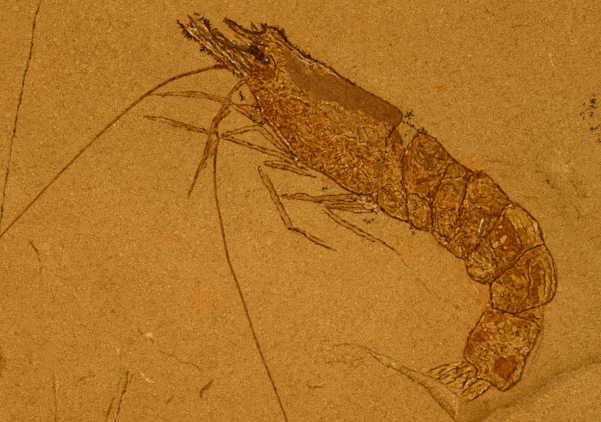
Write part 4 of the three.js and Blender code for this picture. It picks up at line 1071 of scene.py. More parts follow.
PAINTED_RIPPLE_SHADING = [
    # count, step across (u, v), tone, line: faint folds side by side, painted as rows of light and dark
    # lines, the light and shade of the folds, with no relief
    (7, (3.2, 1.6), 0.60, "45,238 44,250 47,262 52,272 54,284"),
    (6, (3.6, 1.2), 0.42, "43,240 42,252 45,264 50,274 52,286"),
    (5, (4.4, -3.0), 0.37, "536,158 542,170 552,180 560,192"),
    (5, (4.6, -3.2), 0.62, "540,156 546,168 556,178 564,190"),
    (4, (5.0, -2.0), 0.38, "556,196 562,208 570,218 574,232"),
    (4, (-4.0, 2.0), 0.42, "139,330 134,344 130,356 128,368"),
    (5, (5.5, 1.5), 0.58, "20,255 30,262 34,274 32,288"),
]
for k, (count, (step_u, step_v), value, place) in enumerate(PAINTED_RIPPLE_SHADING):
    for n in range(count):
        shifted = written([(u + n * step_u, v + n * step_v) for u, v in points(place)])
        draw(stone, 1.3, value, shifted, 0.9, 1.2, 0.9, (6, 6), seed=RIPPLE_SEED + 10 * k + n)

STAINS = [
    # strength, feather, outline
    (0.8, 5, "464,158 478,160 486,170 476,176 464,168"),
    (0.6, 6, "534,196 548,200 552,216 542,222 532,208"),
    (0.5, 8, "186,292 214,292 216,312 190,314"),
    (0.4, 10, "150,225 186,232 190,250 156,246"),
    (0.4, 8, "396,236 412,240 412,262 398,258"),
    (0.5, 5, "232,92 250,88 258,104 266,124 250,122 238,106"),
    (0.2, 4, "262,16 284,18 300,34 316,46 310,52 290,38 264,26"),
    (0.5, 5, "468,282 486,284 490,306 480,312 472,300"),
    (0.3, 9, UNDER_LEGS),
    (0.4, 5, UNDER_RINGS),
    (1.5, 1.5, "541,304 545,308 546,316 545,326 540,338 537,338 541,328 542,312"),
]
for strength, feather, outline in STAINS:
    patch(stain, strength, outline, feather, ragged=4, seed=13)

for layer, value in ((stain, 2.4), (stone, 0.40)):
    patch(layer, value, "434,85.6 447,85.8 447,88.6 434,88.8", 0.5, ragged=0.3, seed=13)

# Chalky crumbs and dark flakes where the legs meet the shield.
# They lie on the slab, the legs and the shield alike.
CRUMB_FREE = -1.0
CRUMB_TONES = (0.84, 0.30, 0.88, 0.74, 0.22)
CRUMB_BEDS = [
    # middle, reach along and across, slope, count
    (296, 160, 10, 3.4, 0.72, 60),
    (368, 205, 15, 6.5, 0.50, 130),
    (256, 110, 6, 7.0, 0.80, 18),
]
crumbs = np.full((NV, NU), CRUMB_FREE, np.float32)
rng = np.random.default_rng(15)
for u, v, reach_u, reach_v, slope, count in CRUMB_BEDS:
    for k in range(count):
        along, across = rng.normal(0, reach_u / 2), rng.normal(0, reach_v / 2)
        a, b, size = u + along, v + slope * along + across, rng.uniform(0.8, 2.6)
        crumb = written([(a, b), (a + size, b + 0.3 * size)])
        draw(crumbs, rng.uniform(1.0, 1.8), CRUMB_TONES[k % 5], crumb, 0.9, 0.6, 0.3, seed=CRUMB_SEED + k)
    blot(detail, FINEST, u, v, reach_u, reach_u * 0.8, ragged=0)

crumb_share = np.clip(1.2 * (crumbs - CRUMB_FREE), 0, 1)
for layer in (stone, tone):
    layer += crumb_share * (crumbs - layer) * (crumb_share > 0.5)

STONE_SPOTS = [
    (0.20, 254, 190.5, 1.2, 1.0), (0.22, 249, 191, 0.9, 0.8), (0.22, 246, 197, 1.0, 0.9),
    (0.20, 194, 203, 1.0, 0.9), (0.20, 409, 370, 1.2, 1.1), (0.22, 328.5, 340.5, 1.0, 0.9),
    (0.30, 333.6, 44, 1.5, 1.1), (0.18, 354, 67, 1.4, 0.8), (0.20, 358.6, 54, 0.9, 0.7),
    (0.22, 411, 13, 0.8, 0.8), (0.26, 308, 17, 0.9, 0.8), (0.80, 454, 401.7, 1.4, 0.8),
    (0.24, 72, 346, 1.2, 1.0), (0.30, 34, 308, 1.8, 0.8), (0.82, 121, 254, 1.8, 1.0),
    (0.82, 147, 284, 1.2, 0.8), (0.30, 112, 311, 0.9, 2.6), (0.26, 101, 288, 1.4, 1.0),
    (0.78, 118, 350, 1.6, 1.2), (0.80, 148, 335, 2.0, 2.4), (0.24, 18, 385, 1.2, 1.0),
    (0.80, 173, 388, 1.2, 0.8), (0.26, 152, 378, 0.8, 1.4), (0.20, 356, 66.6, 1.2, 0.8),
]
rng = np.random.default_rng(5)
for k in range(190):
    u, v = rng.uniform(-70, 670), rng.uniform(-60, 480)
    size = 0.45 + 0.6 * rng.random() ** 2
    value = rng.uniform(0.20, 0.36) if k % 2 else rng.uniform(0.66, 0.80)
    STONE_SPOTS.append((value, u, v, size * rng.uniform(1, 1.8), size))
for k, (value, u, v, ru, rv) in enumerate(STONE_SPOTS):
    blot(stone, value, u, v, ru, rv, 47 * k, 0.85, seed=SPECK_SEED + k)
    win = Window(u - ru, u + ru, v - ru, v + ru, 0.8)
    detail[win.cut] = np.maximum(detail[win.cut], FINEST)

# Broad unevenness of the split face, and a broad painted pool of light on it.
stain += 0.10 + 0.26 * smoothstep(V, 140, 320) - 0.34 * smoothstep(U, 490, 570) * smoothstep(V, 60, 140)
# Painted light: the face grows lighter towards the bottom.
stone += 0.022 * smoothstep(V, 260, 350)
stone += 0.05 * (noise(U, V, 60, 81, 2) - 0.5) + 0.03 * (noise(U, V, 16, 82, 2) - 0.5) - 0.045
# A painted pool of light, brightest low in the middle of the face.
stone += 0.075 * np.exp(-((U - 290) / 240) ** 2 - ((V - 265) / 120) ** 2)
stone_lift += 0.12 * (noise(U, V, 120, 83, 2) - 0.5) + 0.05 * (noise(U, V, 22, 84, 2) - 0.5)

# ---- reading the frame's solids -----------------------------------------------------------------


def solid_top(name):
    """The upward faces of a solid: corners on the sheet (u, v) with their height over the slab."""
    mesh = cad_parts[name].data
    mesh.calc_loop_triangles()
    co = np.empty(len(mesh.vertices) * 3)
    mesh.vertices.foreach_get("co", co)
    co = co.reshape(-1, 3) / MM
    tri = np.empty(len(mesh.loop_triangles) * 3, int)
    mesh.loop_triangles.foreach_get("vertices", tri)
    corners = co[tri.reshape(-1, 3)]
    normal = np.cross(corners[:, 1] - corners[:, 0], corners[:, 2] - corners[:, 0])
    size = np.linalg.norm(normal, axis=1)
    corners = corners[(size > 1e-9) & (normal[:, 2] > 0.05 * size)]
    placed = corners.copy()
    placed[:, :, 0] = corners[:, :, 0] / UNIT + MID_U
    placed[:, :, 1] = MID_V - corners[:, :, 1] / UNIT
    placed[:, :, 2] = corners[:, :, 2] - SLAB_TOP
    return placed


def lay(faces, win, start):
    """The highest face over each place of a window."""
    layer = np.full(win.u.shape, start, np.float32)
    for tri in faces:
        (x0, y0, z0), (x1, y1, z1), (x2, y2, z2) = tri
        area = (x1 - x0) * (y2 - y0) - (x2 - x0) * (y1 - y0)
        if abs(area) < 1e-9:
            continue
        part = Window(min(x0, x1, x2), max(x0, x1, x2), min(y0, y1, y2), max(y0, y1, y2), 0)
        top, left = max(part.r0, win.r0), max(part.c0, win.c0)
        bottom = min(part.r0 + part.u.shape[0], win.r0 + win.u.shape[0])
        right = min(part.c0 + part.u.shape[1], win.c0 + win.u.shape[1])
        if bottom <= top or right <= left:
            continue
        cut = np.s_[top - win.r0:bottom - win.r0, left - win.c0:right - win.c0]
        u, v = win.u[cut], win.v[cut]
        w0 = ((x1 - u) * (y2 - v) - (x2 - u) * (y1 - v)) / area
        w1 = ((x2 - u) * (y0 - v) - (x0 - u) * (y2 - v)) / area
        w2 = 1 - w0 - w1
        z = w0 * z0 + w1 * z1 + w2 * z2
        hit = (w0 > -1e-5) & (w1 > -1e-5) & (w2 > -1e-5)
        view = layer[cut]
        view[hit] = np.maximum(view[hit], z[hit])
    return layer


REACH = 4.0
NOTHING = -50.0


def silhouette(name, more=()):
    """A solid seen from above: its window, inside distance (within REACH) and smooth height."""
    faces = solid_top(name)
    flat = faces.reshape(-1, 3)
    span = np.vstack([flat[:, :2]] + [points(text) for text in more])
    lo, hi = span.min(0), span.max(0)
    win = Window(lo[0], hi[0], lo[1], hi[1], 6)
    height = lay(faces, win, NOTHING)
    covered = height > NOTHING + 1
    keys, ids = np.unique(np.round(flat[:, :2] * 200).astype(np.int64), axis=0, return_inverse=True)
    ids = ids.reshape(-1, 3)
    seen = {}
    for a, b, c in ids:
        for edge in ((a, b), (b, c), (c, a)):
            seen[edge] = seen.get(edge, 0) + 1
    far = np.full(win.u.shape, REACH, np.float32)
    where = keys / 200.0
    for a, b in seen:
        if (b, a) in seen or a == b:
            continue
        p, q = where[a], where[b]
        part = Window(min(p[0], q[0]), max(p[0], q[0]), min(p[1], q[1]), max(p[1], q[1]), REACH)
        cut = np.s_[max(part.r0 - win.r0, 0):part.r0 - win.r0 + part.u.shape[0],
                    max(part.c0 - win.c0, 0):part.c0 - win.c0 + part.u.shape[1]]
        u, v = win.u[cut], win.v[cut]
        span = q - p
        size2 = max(float(span @ span), 1e-12)
        t = np.clip(((u - p[0]) * span[0] + (v - p[1]) * span[1]) / size2, 0, 1)
        view = far[cut]
        np.minimum(view, np.hypot(u - p[0] - t * span[0], v - p[1] - t * span[1]), out=view)
    inside = np.where(covered, far, -far)
    weight = blur(covered.astype(np.float32), 3.0)
    smooth = blur(np.where(covered, height, 0).astype(np.float32), 3.0) / np.maximum(weight, 1e-3)
    return win, inside, smooth


# ---- meshes from the sheet ------------------------------------------------------------------------


def rim_loops(edges):
    """Closed loops from directed edges."""
    follow = {}
    for a, b in edges:
        follow.setdefault(int(a), []).append(int(b))
    loops = []
    while follow:
        first = next(iter(follow))
        loop = [first]
        here = follow[first].pop()
        if not follow[first]:
            del follow[first]
        while here != first and here in follow:
            loop.append(here)
            following = follow[here].pop()
            if not follow[here]:
                del follow[here]
            here = following
        loops.append(loop)
    return loops


def outer_edges(faces, count):
    """Directed edges that only one face has."""
    heads, tails = [], []
    for f in faces:
        f = np.asarray(f)
        heads.append(f.ravel())
        tails.append(np.roll(f, -1, axis=-1).ravel())
    heads, tails = np.concatenate(heads), np.concatenate(tails)
    forward, back = heads.astype(np.int64) * count + tails, tails.astype(np.int64) * count + heads
    alone = ~np.isin(forward, back)
    return np.stack([heads[alone], tails[alone]], 1)


def snap(win, inside, u, v, rounds=3):
    """Moves places onto the outline of an inside distance."""
    du = np.gradient(inside, axis=1) / STEP
    dv = np.gradient(inside, axis=0) / STEP
    for _ in range(rounds):
        d, gu, gv = win.read(inside, u, v), win.read(du, u, v), win.read(dv, u, v)
        steep = np.maximum(gu * gu + gv * gv, 0.2)
        move = np.clip(d / steep, -1.2, 1.2)
        u, v = u - move * gu, v - move * gv
    return u, v


def build_mesh(name, verts, faces, looks, material, node):
    """Makes a piece whose looks are values at its corners, and ties it to the frame."""
    mesh = bpy.data.meshes.new(name)
    mesh.from_pydata(verts, [], faces)
    mesh.polygons.foreach_set("use_smooth", np.ones(len(mesh.polygons), bool))
    for key, values in looks.items():
        layer = mesh.attributes.new(key, "FLOAT", "POINT")
        layer.data.foreach_set("value", np.asarray(values, np.float32))
    mesh.materials.append(material)
    mesh.update()
    piece = bpy.data.objects.new(name, mesh)
    bpy.context.scene.collection.objects.link(piece)
    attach(piece, "root")
    if node:
        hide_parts(node)
    return piece


SINK = 0.35
FLAT = 1e-12


def relief_piece(name, win, inside, top, layers, material, node):
    """A closed low relief: the places inside an outline, raised to `top`, with a rim and an underside."""
    usable = inside > -0.35 * STEP
    kept = usable[:-1, :-1] & usable[1:, :-1] & usable[:-1, 1:] & usable[1:, 1:]
    for _ in range(3):
        a, b, c, d = kept[:-1, :-1], kept[:-1, 1:], kept[1:, :-1], kept[1:, 1:]
        cross1, cross2 = a & d & ~b & ~c, b & c & ~a & ~d
        kept[:-1, :-1] &= ~cross1
        kept[:-1, 1:] &= ~cross2
    kept = largest_parts(kept)
    rows, cols = np.nonzero(kept)
    wide = inside.shape[1]
    a = rows * wide + cols
    quads = np.stack([a, a + wide, a + wide + 1, a + 1], 1)
    used, inverse = np.unique(quads.ravel(), return_inverse=True)
    quads = inverse.reshape(-1, 4)
    u = win.u.ravel()[used].astype(float)
    v = win.v.ravel()[used].astype(float)
    edges = outer_edges([quads], len(used))
    rim = np.unique(edges)
    u[rim], v[rim] = snap(win, inside, u[rim], v[rim])
    z = win.read(top, u, v)
    x, y = to_mm(u, v)
    count = len(used)
    under = {int(k): count + n for n, k in enumerate(rim)}
    base = win.read(stone_lift[win.cut], u[rim], v[rim]) - SINK
    xyz = np.concatenate([
        np.stack([x, y, z + SLAB_TOP], 1),
        np.stack([x[rim], y[rim], base + SLAB_TOP], 1),
    ]) * MM
    faces = [tuple(q) for q in quads.tolist()]
    for p, q in edges.tolist():
        faces.append((q, p, under[p], under[q]))
    loops = rim_loops(edges.tolist())
    faces += cap([[(x[k], y[k]) for k in loop] for loop in loops], [under[k] for loop in loops for k in loop])
    looks = {}
    for key, layer in layers.items():
        values = win.read(layer, u, v)
        looks[key] = np.concatenate([values, values[rim]])
    view = surface[win.cut]
    np.copyto(view, np.maximum(view, top), where=inside > 0)
    return build_mesh(name, xyz.tolist(), faces, looks, material, node)


def cap(loops, ids):
    """Faces that close an underside: its loops of (x, y), and the mesh's number of each place in turn."""
    places = [place for loop in loops for place in loop]
    faces = []
    for corners in tessellate_polygon([[(x, y, 0.0) for x, y in loop] for loop in loops]):
        i, j, k = (int(n) for n in corners)
        (xi, yi), (xj, yj), (xk, yk) = places[i], places[j], places[k]
        turn = (xj - xi) * (yk - yi) - (xk - xi) * (yj - yi)
        if abs(turn) > FLAT:
            order = (i, k, j) if turn > 0 else (i, j, k)
            faces.append(tuple(int(ids[n]) for n in order))
    return faces


def largest_parts(kept, smallest=24):
    """Drops crumbs: groups of fewer than `smallest` cells."""
    wide = kept.shape[1]
    flat = kept.ravel().copy()
    waiting = flat.copy()
    for start in np.flatnonzero(flat):
        if not waiting[start]:
            continue
        waiting[start] = False
        group = [int(start)]
        for cell in group:
            for other in (cell - 1, cell + 1, cell - wide, cell + wide):
                if 0 <= other < flat.size and waiting[other]:
                    waiting[other] = False
                    group.append(other)
        if len(group) < smallest:
            flat[group] = False
    return flat.reshape(kept.shape)


# ---- materials ---------------------------------------------------------------------------------------


def linear(rgb):
    """A colour of 0 to 255 as the linear colour that a node takes."""
    out = []
    for c in rgb:
        c /= 255
        out.append(c / 12.92 if c <= 0.04045 else ((c + 0.055) / 1.055) ** 2.4)
    return (*out, 1.0)


class Look:
    """A node material under construction."""

    def __init__(self, name, specular=0.15):
        self.material = bpy.data.materials.new(name)
        self.material.use_nodes = True
        tree = self.material.node_tree
        self.nodes, self.links = tree.nodes, tree.links
        self.nodes.clear()
        out = self.nodes.new("ShaderNodeOutputMaterial")
        self.shader = self.nodes.new("ShaderNodeBsdfPrincipled")
        self.links.new(self.shader.outputs[0], out.inputs[0])
        self.shader.inputs["Specular IOR Level"].default_value = specular
        self.place = self.nodes.new("ShaderNodeTexCoord").outputs["Object"]

    def plug(self, socket, value):
        if isinstance(value, bpy.types.NodeSocket):
            self.links.new(value, socket)
        else:
            socket.default_value = value

    def attribute(self, name):
        node = self.nodes.new("ShaderNodeAttribute")
        node.attribute_name = name
        return node.outputs["Fac"]

    def noise(self, scale, levels=2.0, rough=0.5, stretch=None, distortion=0.0):
        node = self.nodes.new("ShaderNodeTexNoise")
        node.inputs["Scale"].default_value = scale
        node.inputs["Detail"].default_value = levels
        node.inputs["Roughness"].default_value = rough
        node.inputs["Distortion"].default_value = distortion
        place = self.place
        if stretch:
            mapping = self.nodes.new("ShaderNodeMapping")
            mapping.inputs["Scale"].default_value = stretch
            self.links.new(place, mapping.inputs["Vector"])
            place = mapping.outputs[0]
        self.links.new(place, node.inputs["Vector"])
        return node.outputs["Fac"]

    def math(self, operation, a, b=0.0, c=0.0, clamp=False):
        node = self.nodes.new("ShaderNodeMath")
        node.operation = operation
        node.use_clamp = clamp
        self.plug(node.inputs[0], a)
        self.plug(node.inputs[1], b)
        self.plug(node.inputs[2], c)
        return node.outputs[0]

    def line(self, value, level, width):
        """1 where value is at level, 0 beyond width from it."""
        off = self.math("ABSOLUTE", self.math("SUBTRACT", value, level))
        return self.math("SUBTRACT", 1.0, self.math("DIVIDE", off, width), clamp=True)

    def step(self, value, lo, hi):
        node = self.nodes.new("ShaderNodeMapRange")
        node.interpolation_type = "SMOOTHSTEP"
        node.inputs["From Min"].default_value = lo
        node.inputs["From Max"].default_value = hi
        self.plug(node.inputs["Value"], value)
        return node.outputs[0]

    def sway(self, value, texture, amount):
        """value + amount x (texture - 0.5)"""
        centred = self.math("SUBTRACT", texture, 0.5)
        return self.math("MULTIPLY_ADD", centred, amount, value)

    def ramp(self, value, stops):
        node = self.nodes.new("ShaderNodeValToRGB")
        elements = node.color_ramp.elements
        while len(elements) > 1:
            elements.remove(elements[-1])
        elements[0].position = stops[0][0]
        elements[0].color = linear(stops[0][1])
        for place, colour in stops[1:]:
            elements.new(place).color = linear(colour)
        self.plug(node.inputs[0], value)
        return node.outputs[0]

    def mix(self, amount, a, b):
        node = self.nodes.new("ShaderNodeMix")
        node.data_type = "RGBA"
        self.plug(node.inputs[0], amount)
        self.plug(node.inputs[6], a)
        self.plug(node.inputs[7], b)
        return node.outputs[2]

    def blend(self, amount, a, b):
        node = self.nodes.new("ShaderNodeMix")
        node.data_type = "FLOAT"
        self.plug(node.inputs[0], amount)
        self.plug(node.inputs[2], a)
        self.plug(node.inputs[3], b)
        return node.outputs[0]

    def bump(self, height, strength, distance):
        node = self.nodes.new("ShaderNodeBump")
        node.inputs["Strength"].default_value = strength
        node.inputs["Distance"].default_value = distance
        self.plug(node.inputs["Height"], height)
        self.links.new(node.outputs[0], self.shader.inputs["Normal"])

    def finish(self, colour, roughness):
        self.plug(self.shader.inputs["Base Color"], colour)
        self.plug(self.shader.inputs["Roughness"], roughness)
        return self.material


SHELL_COLOURS = [(0.0, (32, 8, 0)), (0.12, (70, 21, 0)), (0.25, (104, 40, 0)), (0.36, (129, 60, 0)),
                 (0.46, (148, 80, 4)), (0.54, (163, 97, 9)), (0.62, (179, 114, 18)), (0.72, (197, 136, 38)),
                 (0.84, (217, 162, 76)), (1.0, (240, 206, 150))]
RUST_COLOURS = [(0.0, (34, 7, 0)), (0.12, (74, 21, 0)), (0.25, (107, 37, 0)), (0.36, (132, 56, 0)),
                (0.46, (150, 72, 2)), (0.54, (166, 88, 7)), (0.62, (181, 104, 18)),
                (0.72, (198, 126, 36)), (1.0, (236, 192, 126))]
MOSS_COLOURS = [(0.0, (30, 14, 2)), (0.12, (62, 31, 5)), (0.25, (94, 53, 8)), (0.36, (118, 73, 13)),
                (0.46, (138, 90, 21)), (0.54, (153, 106, 31)), (0.62, (168, 121, 44)),
                (0.72, (186, 142, 62)), (1.0, (226, 200, 140))]
CHALK_COLOURS = [(0.0, (40, 14, 4)), (0.25, (108, 50, 14)), (0.36, (130, 66, 24)), (0.46, (148, 86, 36)),
                 (0.54, (163, 101, 48)), (0.62, (179, 116, 62)), (0.72, (198, 138, 86)),
                 (1.0, (238, 200, 160))]
FILM_COLOURS = [(0.25, (112, 52, 2)), (0.5, (135, 74, 11)), (0.75, (156, 96, 26))]
LIMB_COLOURS = [(0.0, (64, 18, 0)), (0.2, (112, 44, 0)), (0.35, (139, 68, 2)), (0.5, (160, 93, 16)),
                (0.62, (176, 113, 32)), (0.72, (190, 129, 48)), (1.0, (228, 178, 104))]
STONE_COLOURS = [(0.0, (84, 38, 0)), (0.15, (116, 61, 2)), (0.3, (149, 92, 15)), (0.4, (167, 110, 30)),
                 (0.5, (183, 126, 46)), (0.6, (198, 141, 61)), (0.7, (213, 156, 77)),
                 (0.85, (230, 174, 96)), (1.0, (244, 200, 130))]
STAIN_COLOURS = [(0.0, (90, 34, 0)), (0.3, (156, 84, 4)), (0.4, (175, 101, 12)), (0.5, (191, 117, 25)),
                 (0.7, (218, 148, 56)), (1.0, (246, 196, 118))]
BLACK_COLOURS = [(0.3, (42, 13, 0)), (0.5, (68, 25, 0)), (0.7, (98, 46, 4)), (1.0, (196, 150, 100))]


def shell_look(name):
    look = Look(name, 0.0)
    fine, middle = look.noise(5200, 2), look.noise(1500, 3)
    value = look.sway(look.sway(look.attribute("tone"), fine, 0.42), middle, 0.08)
    film = look.attribute("film")
    colour = look.mix(look.attribute("rust"), look.ramp(value, SHELL_COLOURS), look.ramp(value, RUST_COLOURS))
    colour = look.mix(look.attribute("moss"), colour, look.ramp(value, MOSS_COLOURS))
    colour = look.mix(film, colour, look.ramp(value, FILM_COLOURS))
    chalk = look.math("MULTIPLY", look.step(look.noise(3900, 2, 0.6), 0.53, 0.66), 0.46)
    colour = look.mix(chalk, colour, look.ramp(value, CHALK_COLOURS))
    look.bump(look.sway(fine, middle, 0.8), 0.35, 0.00003)
    return look.finish(colour, look.blend(film, look.sway(0.68, middle, 0.2), 0.5))


def limb_look(name):
    look = Look(name, 0.0)
    fine, middle = look.noise(5600, 2), look.noise(1700, 3)
    value = look.sway(look.sway(look.attribute("tone"), fine, 0.36), middle, 0.12)
    look.bump(fine, 0.35, 0.00003)
    return look.finish(look.ramp(value, LIMB_COLOURS), look.sway(0.72, middle, 0.2))


def black_look(name):
    look = Look(name, 0.0)
    fine, middle = look.noise(4200, 3), look.noise(1300, 2)
    value = look.sway(look.sway(look.attribute("tone"), fine, 0.4), middle, 0.3)
    look.bump(fine, 0.5, 0.00004)
    return look.finish(look.ramp(value, BLACK_COLOURS), look.sway(0.5, fine, 0.3))


def stone_look(name):
    look = Look(name, 0.0)
    side = look.attribute("side")
    grain, sand, mottle = look.noise(4800, 3, 0.7), look.noise(2500, 3, 0.65), look.noise(620, 3, 0.55)
    layers = look.noise(260, 3, 0.6, (0.12, 0.12, 6.0))
    value = look.attribute("tone")
    for texture, amount in ((grain, 1.38), (sand, 0.16), (mottle, 0.02), (look.noise(150, 3, 0.5), 0.04)):
        value = look.sway(value, texture, amount)
    relief = look.sway(look.sway(grain, sand, 1.2), mottle, 0.8)
    # short fibres, each a dark line with a light one beside it: painted shade and highlight of a fine ridge,
    # which the bump also raises
    for scale, width, amount in ((600, 0.028, 0.07), (950, 0.045, 0.09), (1500, 0.070, 0.14)):
        field = look.noise(scale, 1.5, 0.5, None, 0.8)
        gate = look.step(look.noise(scale * 0.55, 1, 0.5), 0.44, 0.56)
        dark = look.line(field, 0.5, width)
        light = look.line(field, 0.5 + 1.6 * width, width)
        wave = look.math("MULTIPLY", look.math("SUBTRACT", light, dark), gate)
        value = look.math("MULTIPLY_ADD", wave, amount, value)
        relief = look.math("MULTIPLY_ADD", wave, 0.5, relief)
    value = look.sway(value, look.blend(side, 0.5, layers), 0.42)
    value = look.math("MULTIPLY_ADD", side, 0.05, value)
    relief = look.sway(relief, look.blend(side, 0.5, layers), 1.5)
    look.bump(relief, 0.6, 0.00006)
    specks = look.math("MULTIPLY", look.step(look.noise(1900, 2, 0.6), 0.54, 0.70), 0.40)
    clouds = look.math("MULTIPLY", look.step(look.noise(55, 4, 0.6), 0.52, 0.68), 0.18)
    stain = look.sway(look.sway(look.attribute("stain"), grain, -1.3), sand, -0.9)
    stain = look.math("ADD", stain, look.math("ADD", specks, clouds), clamp=True)
    colour = look.mix(stain, look.ramp(value, STONE_COLOURS), look.ramp(value, STAIN_COLOURS))
    return look.finish(colour, look.sway(0.88, sand, 0.12))


def floor_look(name):
    look = Look(name, 0.2)
    value = look.sway(0.5, look.noise(9, 3), 0.3)
    colour = look.ramp(value, [(0.2, (222, 220, 215)), (0.8, (233, 231, 227))])
    return look.finish(colour, look.sway(0.8, look.noise(40, 2), 0.1))


SHELL = shell_look("shell_crust")
RAYS = shell_look("head_ray_crust")
LIMB = limb_look("limb_stain")
BLACK = black_look("black_mineral")
STONE = stone_look("ochre_limestone")

# ---- the slab ------------------------------------------------------------------------------------------

slab_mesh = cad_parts["slab"].data
slab_points = np.empty(len(slab_mesh.vertices) * 3)
slab_mesh.vertices.foreach_get("co", slab_points)
slab_points = slab_points.reshape(-1, 3) / MM


class Ring:
    """The slab's outline at one height, as a distance from the middle for every direction."""

    def __init__(self, z, beyond=None):
        p = slab_points[np.abs(slab_points[:, 2] - z) < 0.02][:, :2]
        turn, far = np.arctan2(p[:, 1], p[:, 0]), np.hypot(p[:, 0], p[:, 1])
        if beyond is not None:
            keep = far > 0.95 * beyond(turn)
            turn, far = turn[keep], far[keep]
        order = np.argsort(turn)
        turn, far = turn[order], far[order]
        fresh = np.concatenate([[True], np.diff(turn) > 1e-4])
        turn, far = turn[fresh], far[fresh]
        self.turn = np.concatenate([turn[-1:] - 2 * math.pi, turn, turn[:1] + 2 * math.pi])
        self.far = np.concatenate([far[-1:], far, far[:1]])

    def __call__(self, turn):
        k = np.clip(np.searchsorted(self.turn, turn, side="right") - 1, 0, len(self.turn) - 2)
        t0, t1 = self.turn[k], self.turn[k + 1]
        inverse = np.sin(t1 - turn) / self.far[k] + np.sin(turn - t0) / self.far[k + 1]
        return np.sin(t1 - t0) / inverse


RING_HEIGHTS = [0, 0.9, 2.2, 2.6, 4.3, 4.7, 6.6, 7, 9.2]
RINGS = {z: Ring(z) for z in RING_HEIGHTS}
RINGS[SLAB_TOP] = Ring(SLAB_TOP, RINGS[9.2])
top_turn = RINGS[SLAB_TOP].turn[1:-1]
top_far = RINGS[SLAB_TOP].far[1:-1]
outline = np.stack([top_far * np.cos(top_turn) / UNIT + MID_U, MID_V - top_far * np.sin(top_turn) / UNIT], 1)
slab_inside = inside_distance(outline, SHEET)
slab_inside -= 3.2 * noise(U, V, 26, 91, 3) + 1.2 * noise(U, V, 6, 92, 2)

# The step behind the tail, from the solid: where the top isn't flat.
ledge_faces = solid_top("slab")
ledge_faces = ledge_faces[(ledge_faces[:, :, 2].min(1) < -0.02) & (ledge_faces[:, :, 2].min(1) > -0.7)
                          & (ledge_faces[:, :, 0].min(1) > 310)]
ledge_win = Window(ledge_faces[:, :, 0].min(), ledge_faces[:, :, 0].max(),
                   ledge_faces[:, :, 1].min(), ledge_faces[:, :, 1].max(), 8)
drop = lay(ledge_faces, ledge_win, NOTHING)
drop = np.where(drop > NOTHING + 1, drop, 0)
drop = blur(drop.astype(np.float32), 1.6)
stone_lift[ledge_win.cut] += drop
steep = np.hypot(np.gradient(drop, axis=0), np.gradient(drop, axis=1)) / STEP
steep = blur(steep, 2.0)
view = detail[ledge_win.cut]
np.copyto(view, np.maximum(view, 2), where=steep > 0.015)
stone_lift += 0.05 * (noise(U, V, 7, 93, 2) - 0.5) * smoothstep(noise(U, V, 40, 94, 2), 0.35, 0.65)
stone_lift -= 0.5 * np.exp(-np.maximum(slab_inside, 0) / 3.5) * noise(U, V, 12, 95, 2)
patch(stone_lift, -0.35, LEFT_HOLLOW, 1.5, 1.0, 3.0, seed=11)
detail[(np.abs(slab_inside) < 5) & (detail < 1)] = 1
# The highest thing over each place, which grows as the pieces are laid.
surface = stone_lift.copy()


def block_max(layer, size):
    """The highest value in each block of size x size cells."""
    rows, cols = layer.shape
    return layer.reshape(rows // size, size, cols // size, size).max((1, 3))


def double(layer):
    """A grid twice as fine."""
    return np.repeat(np.repeat(layer, 2, 0), 2, 1)


SIDE_HEIGHTS = [9.7, 9.2, 8.7, 8.2, 7.6, 7.0, 6.6, 6.0, 5.3, 4.7, 4.3, 3.8, 3.2, 2.6, 2.2, 1.8, 1.3, 0.9,
                0.5, 0.2, 0]


def slab_cells():
    """The top's cells by size, finest where it is marked, and every corner that they use."""
    cell = np.maximum.reduce([detail[:-1, :-1], detail[1:, :-1], detail[:-1, 1:], detail[1:, 1:]])
    split8, split4, split2 = (block_max(cell, s) >= n for s, n in ((8, 1), (4, 2), (2, 3)))
    in4 = double(split8)
    in2 = double(in4 & split4)
    in1 = double(in2 & split2)
    leaves = {8: ~split8, 4: in4 & ~split4, 2: in2 & ~split2, 1: in1}
    corners = {}
    marked = np.zeros((NV, NU), bool)
    for size, grid in leaves.items():
        r, c = np.nonzero(grid)
        r, c = r * size, c * size
        limit = -0.35 * size * STEP
        ok = ((slab_inside[r, c] > limit) & (slab_inside[r + size, c] > limit)
              & (slab_inside[r, c + size] > limit) & (slab_inside[r + size, c + size] > limit))
        r, c = r[ok], c[ok]
        corners[size] = (r, c)
        for dr, dc in ((0, 0), (size, 0), (0, size), (size, size)):
            marked[r + dr, c + dc] = True
    return corners, marked


def slab_top(corners, marked):
    """The top's faces, numbered by place on the sheet.

    A coarse cell takes in the corners of its finer neighbours, so that no gap opens.
    """
    faces = []
    for size, (r, c) in corners.items():
        a = r * NU + c
        quads = np.stack([a, a + size * NU, a + size * NU + size, a + size], 1)
        plain = np.ones(len(r), bool)
        for k in range(1, size):
            plain &= ~(marked[r + k, c] | marked[r + size, c + k]
                       | marked[r + k, c + size] | marked[r, c + k])
        faces += [tuple(q) for q in quads[plain].tolist()]
        for row, col in zip(r[~plain].tolist(), c[~plain].tolist()):
            walk = ([(row + k, col) for k in range(size)] + [(row + size, col + k) for k in range(size)]
                    + [(row + size - k, col + size) for k in range(size)]
                    + [(row, col + size - k) for k in range(size)])
            faces.append(tuple(i * NU + j for n, (i, j) in enumerate(walk) if n % size == 0 or marked[i, j]))
    return faces


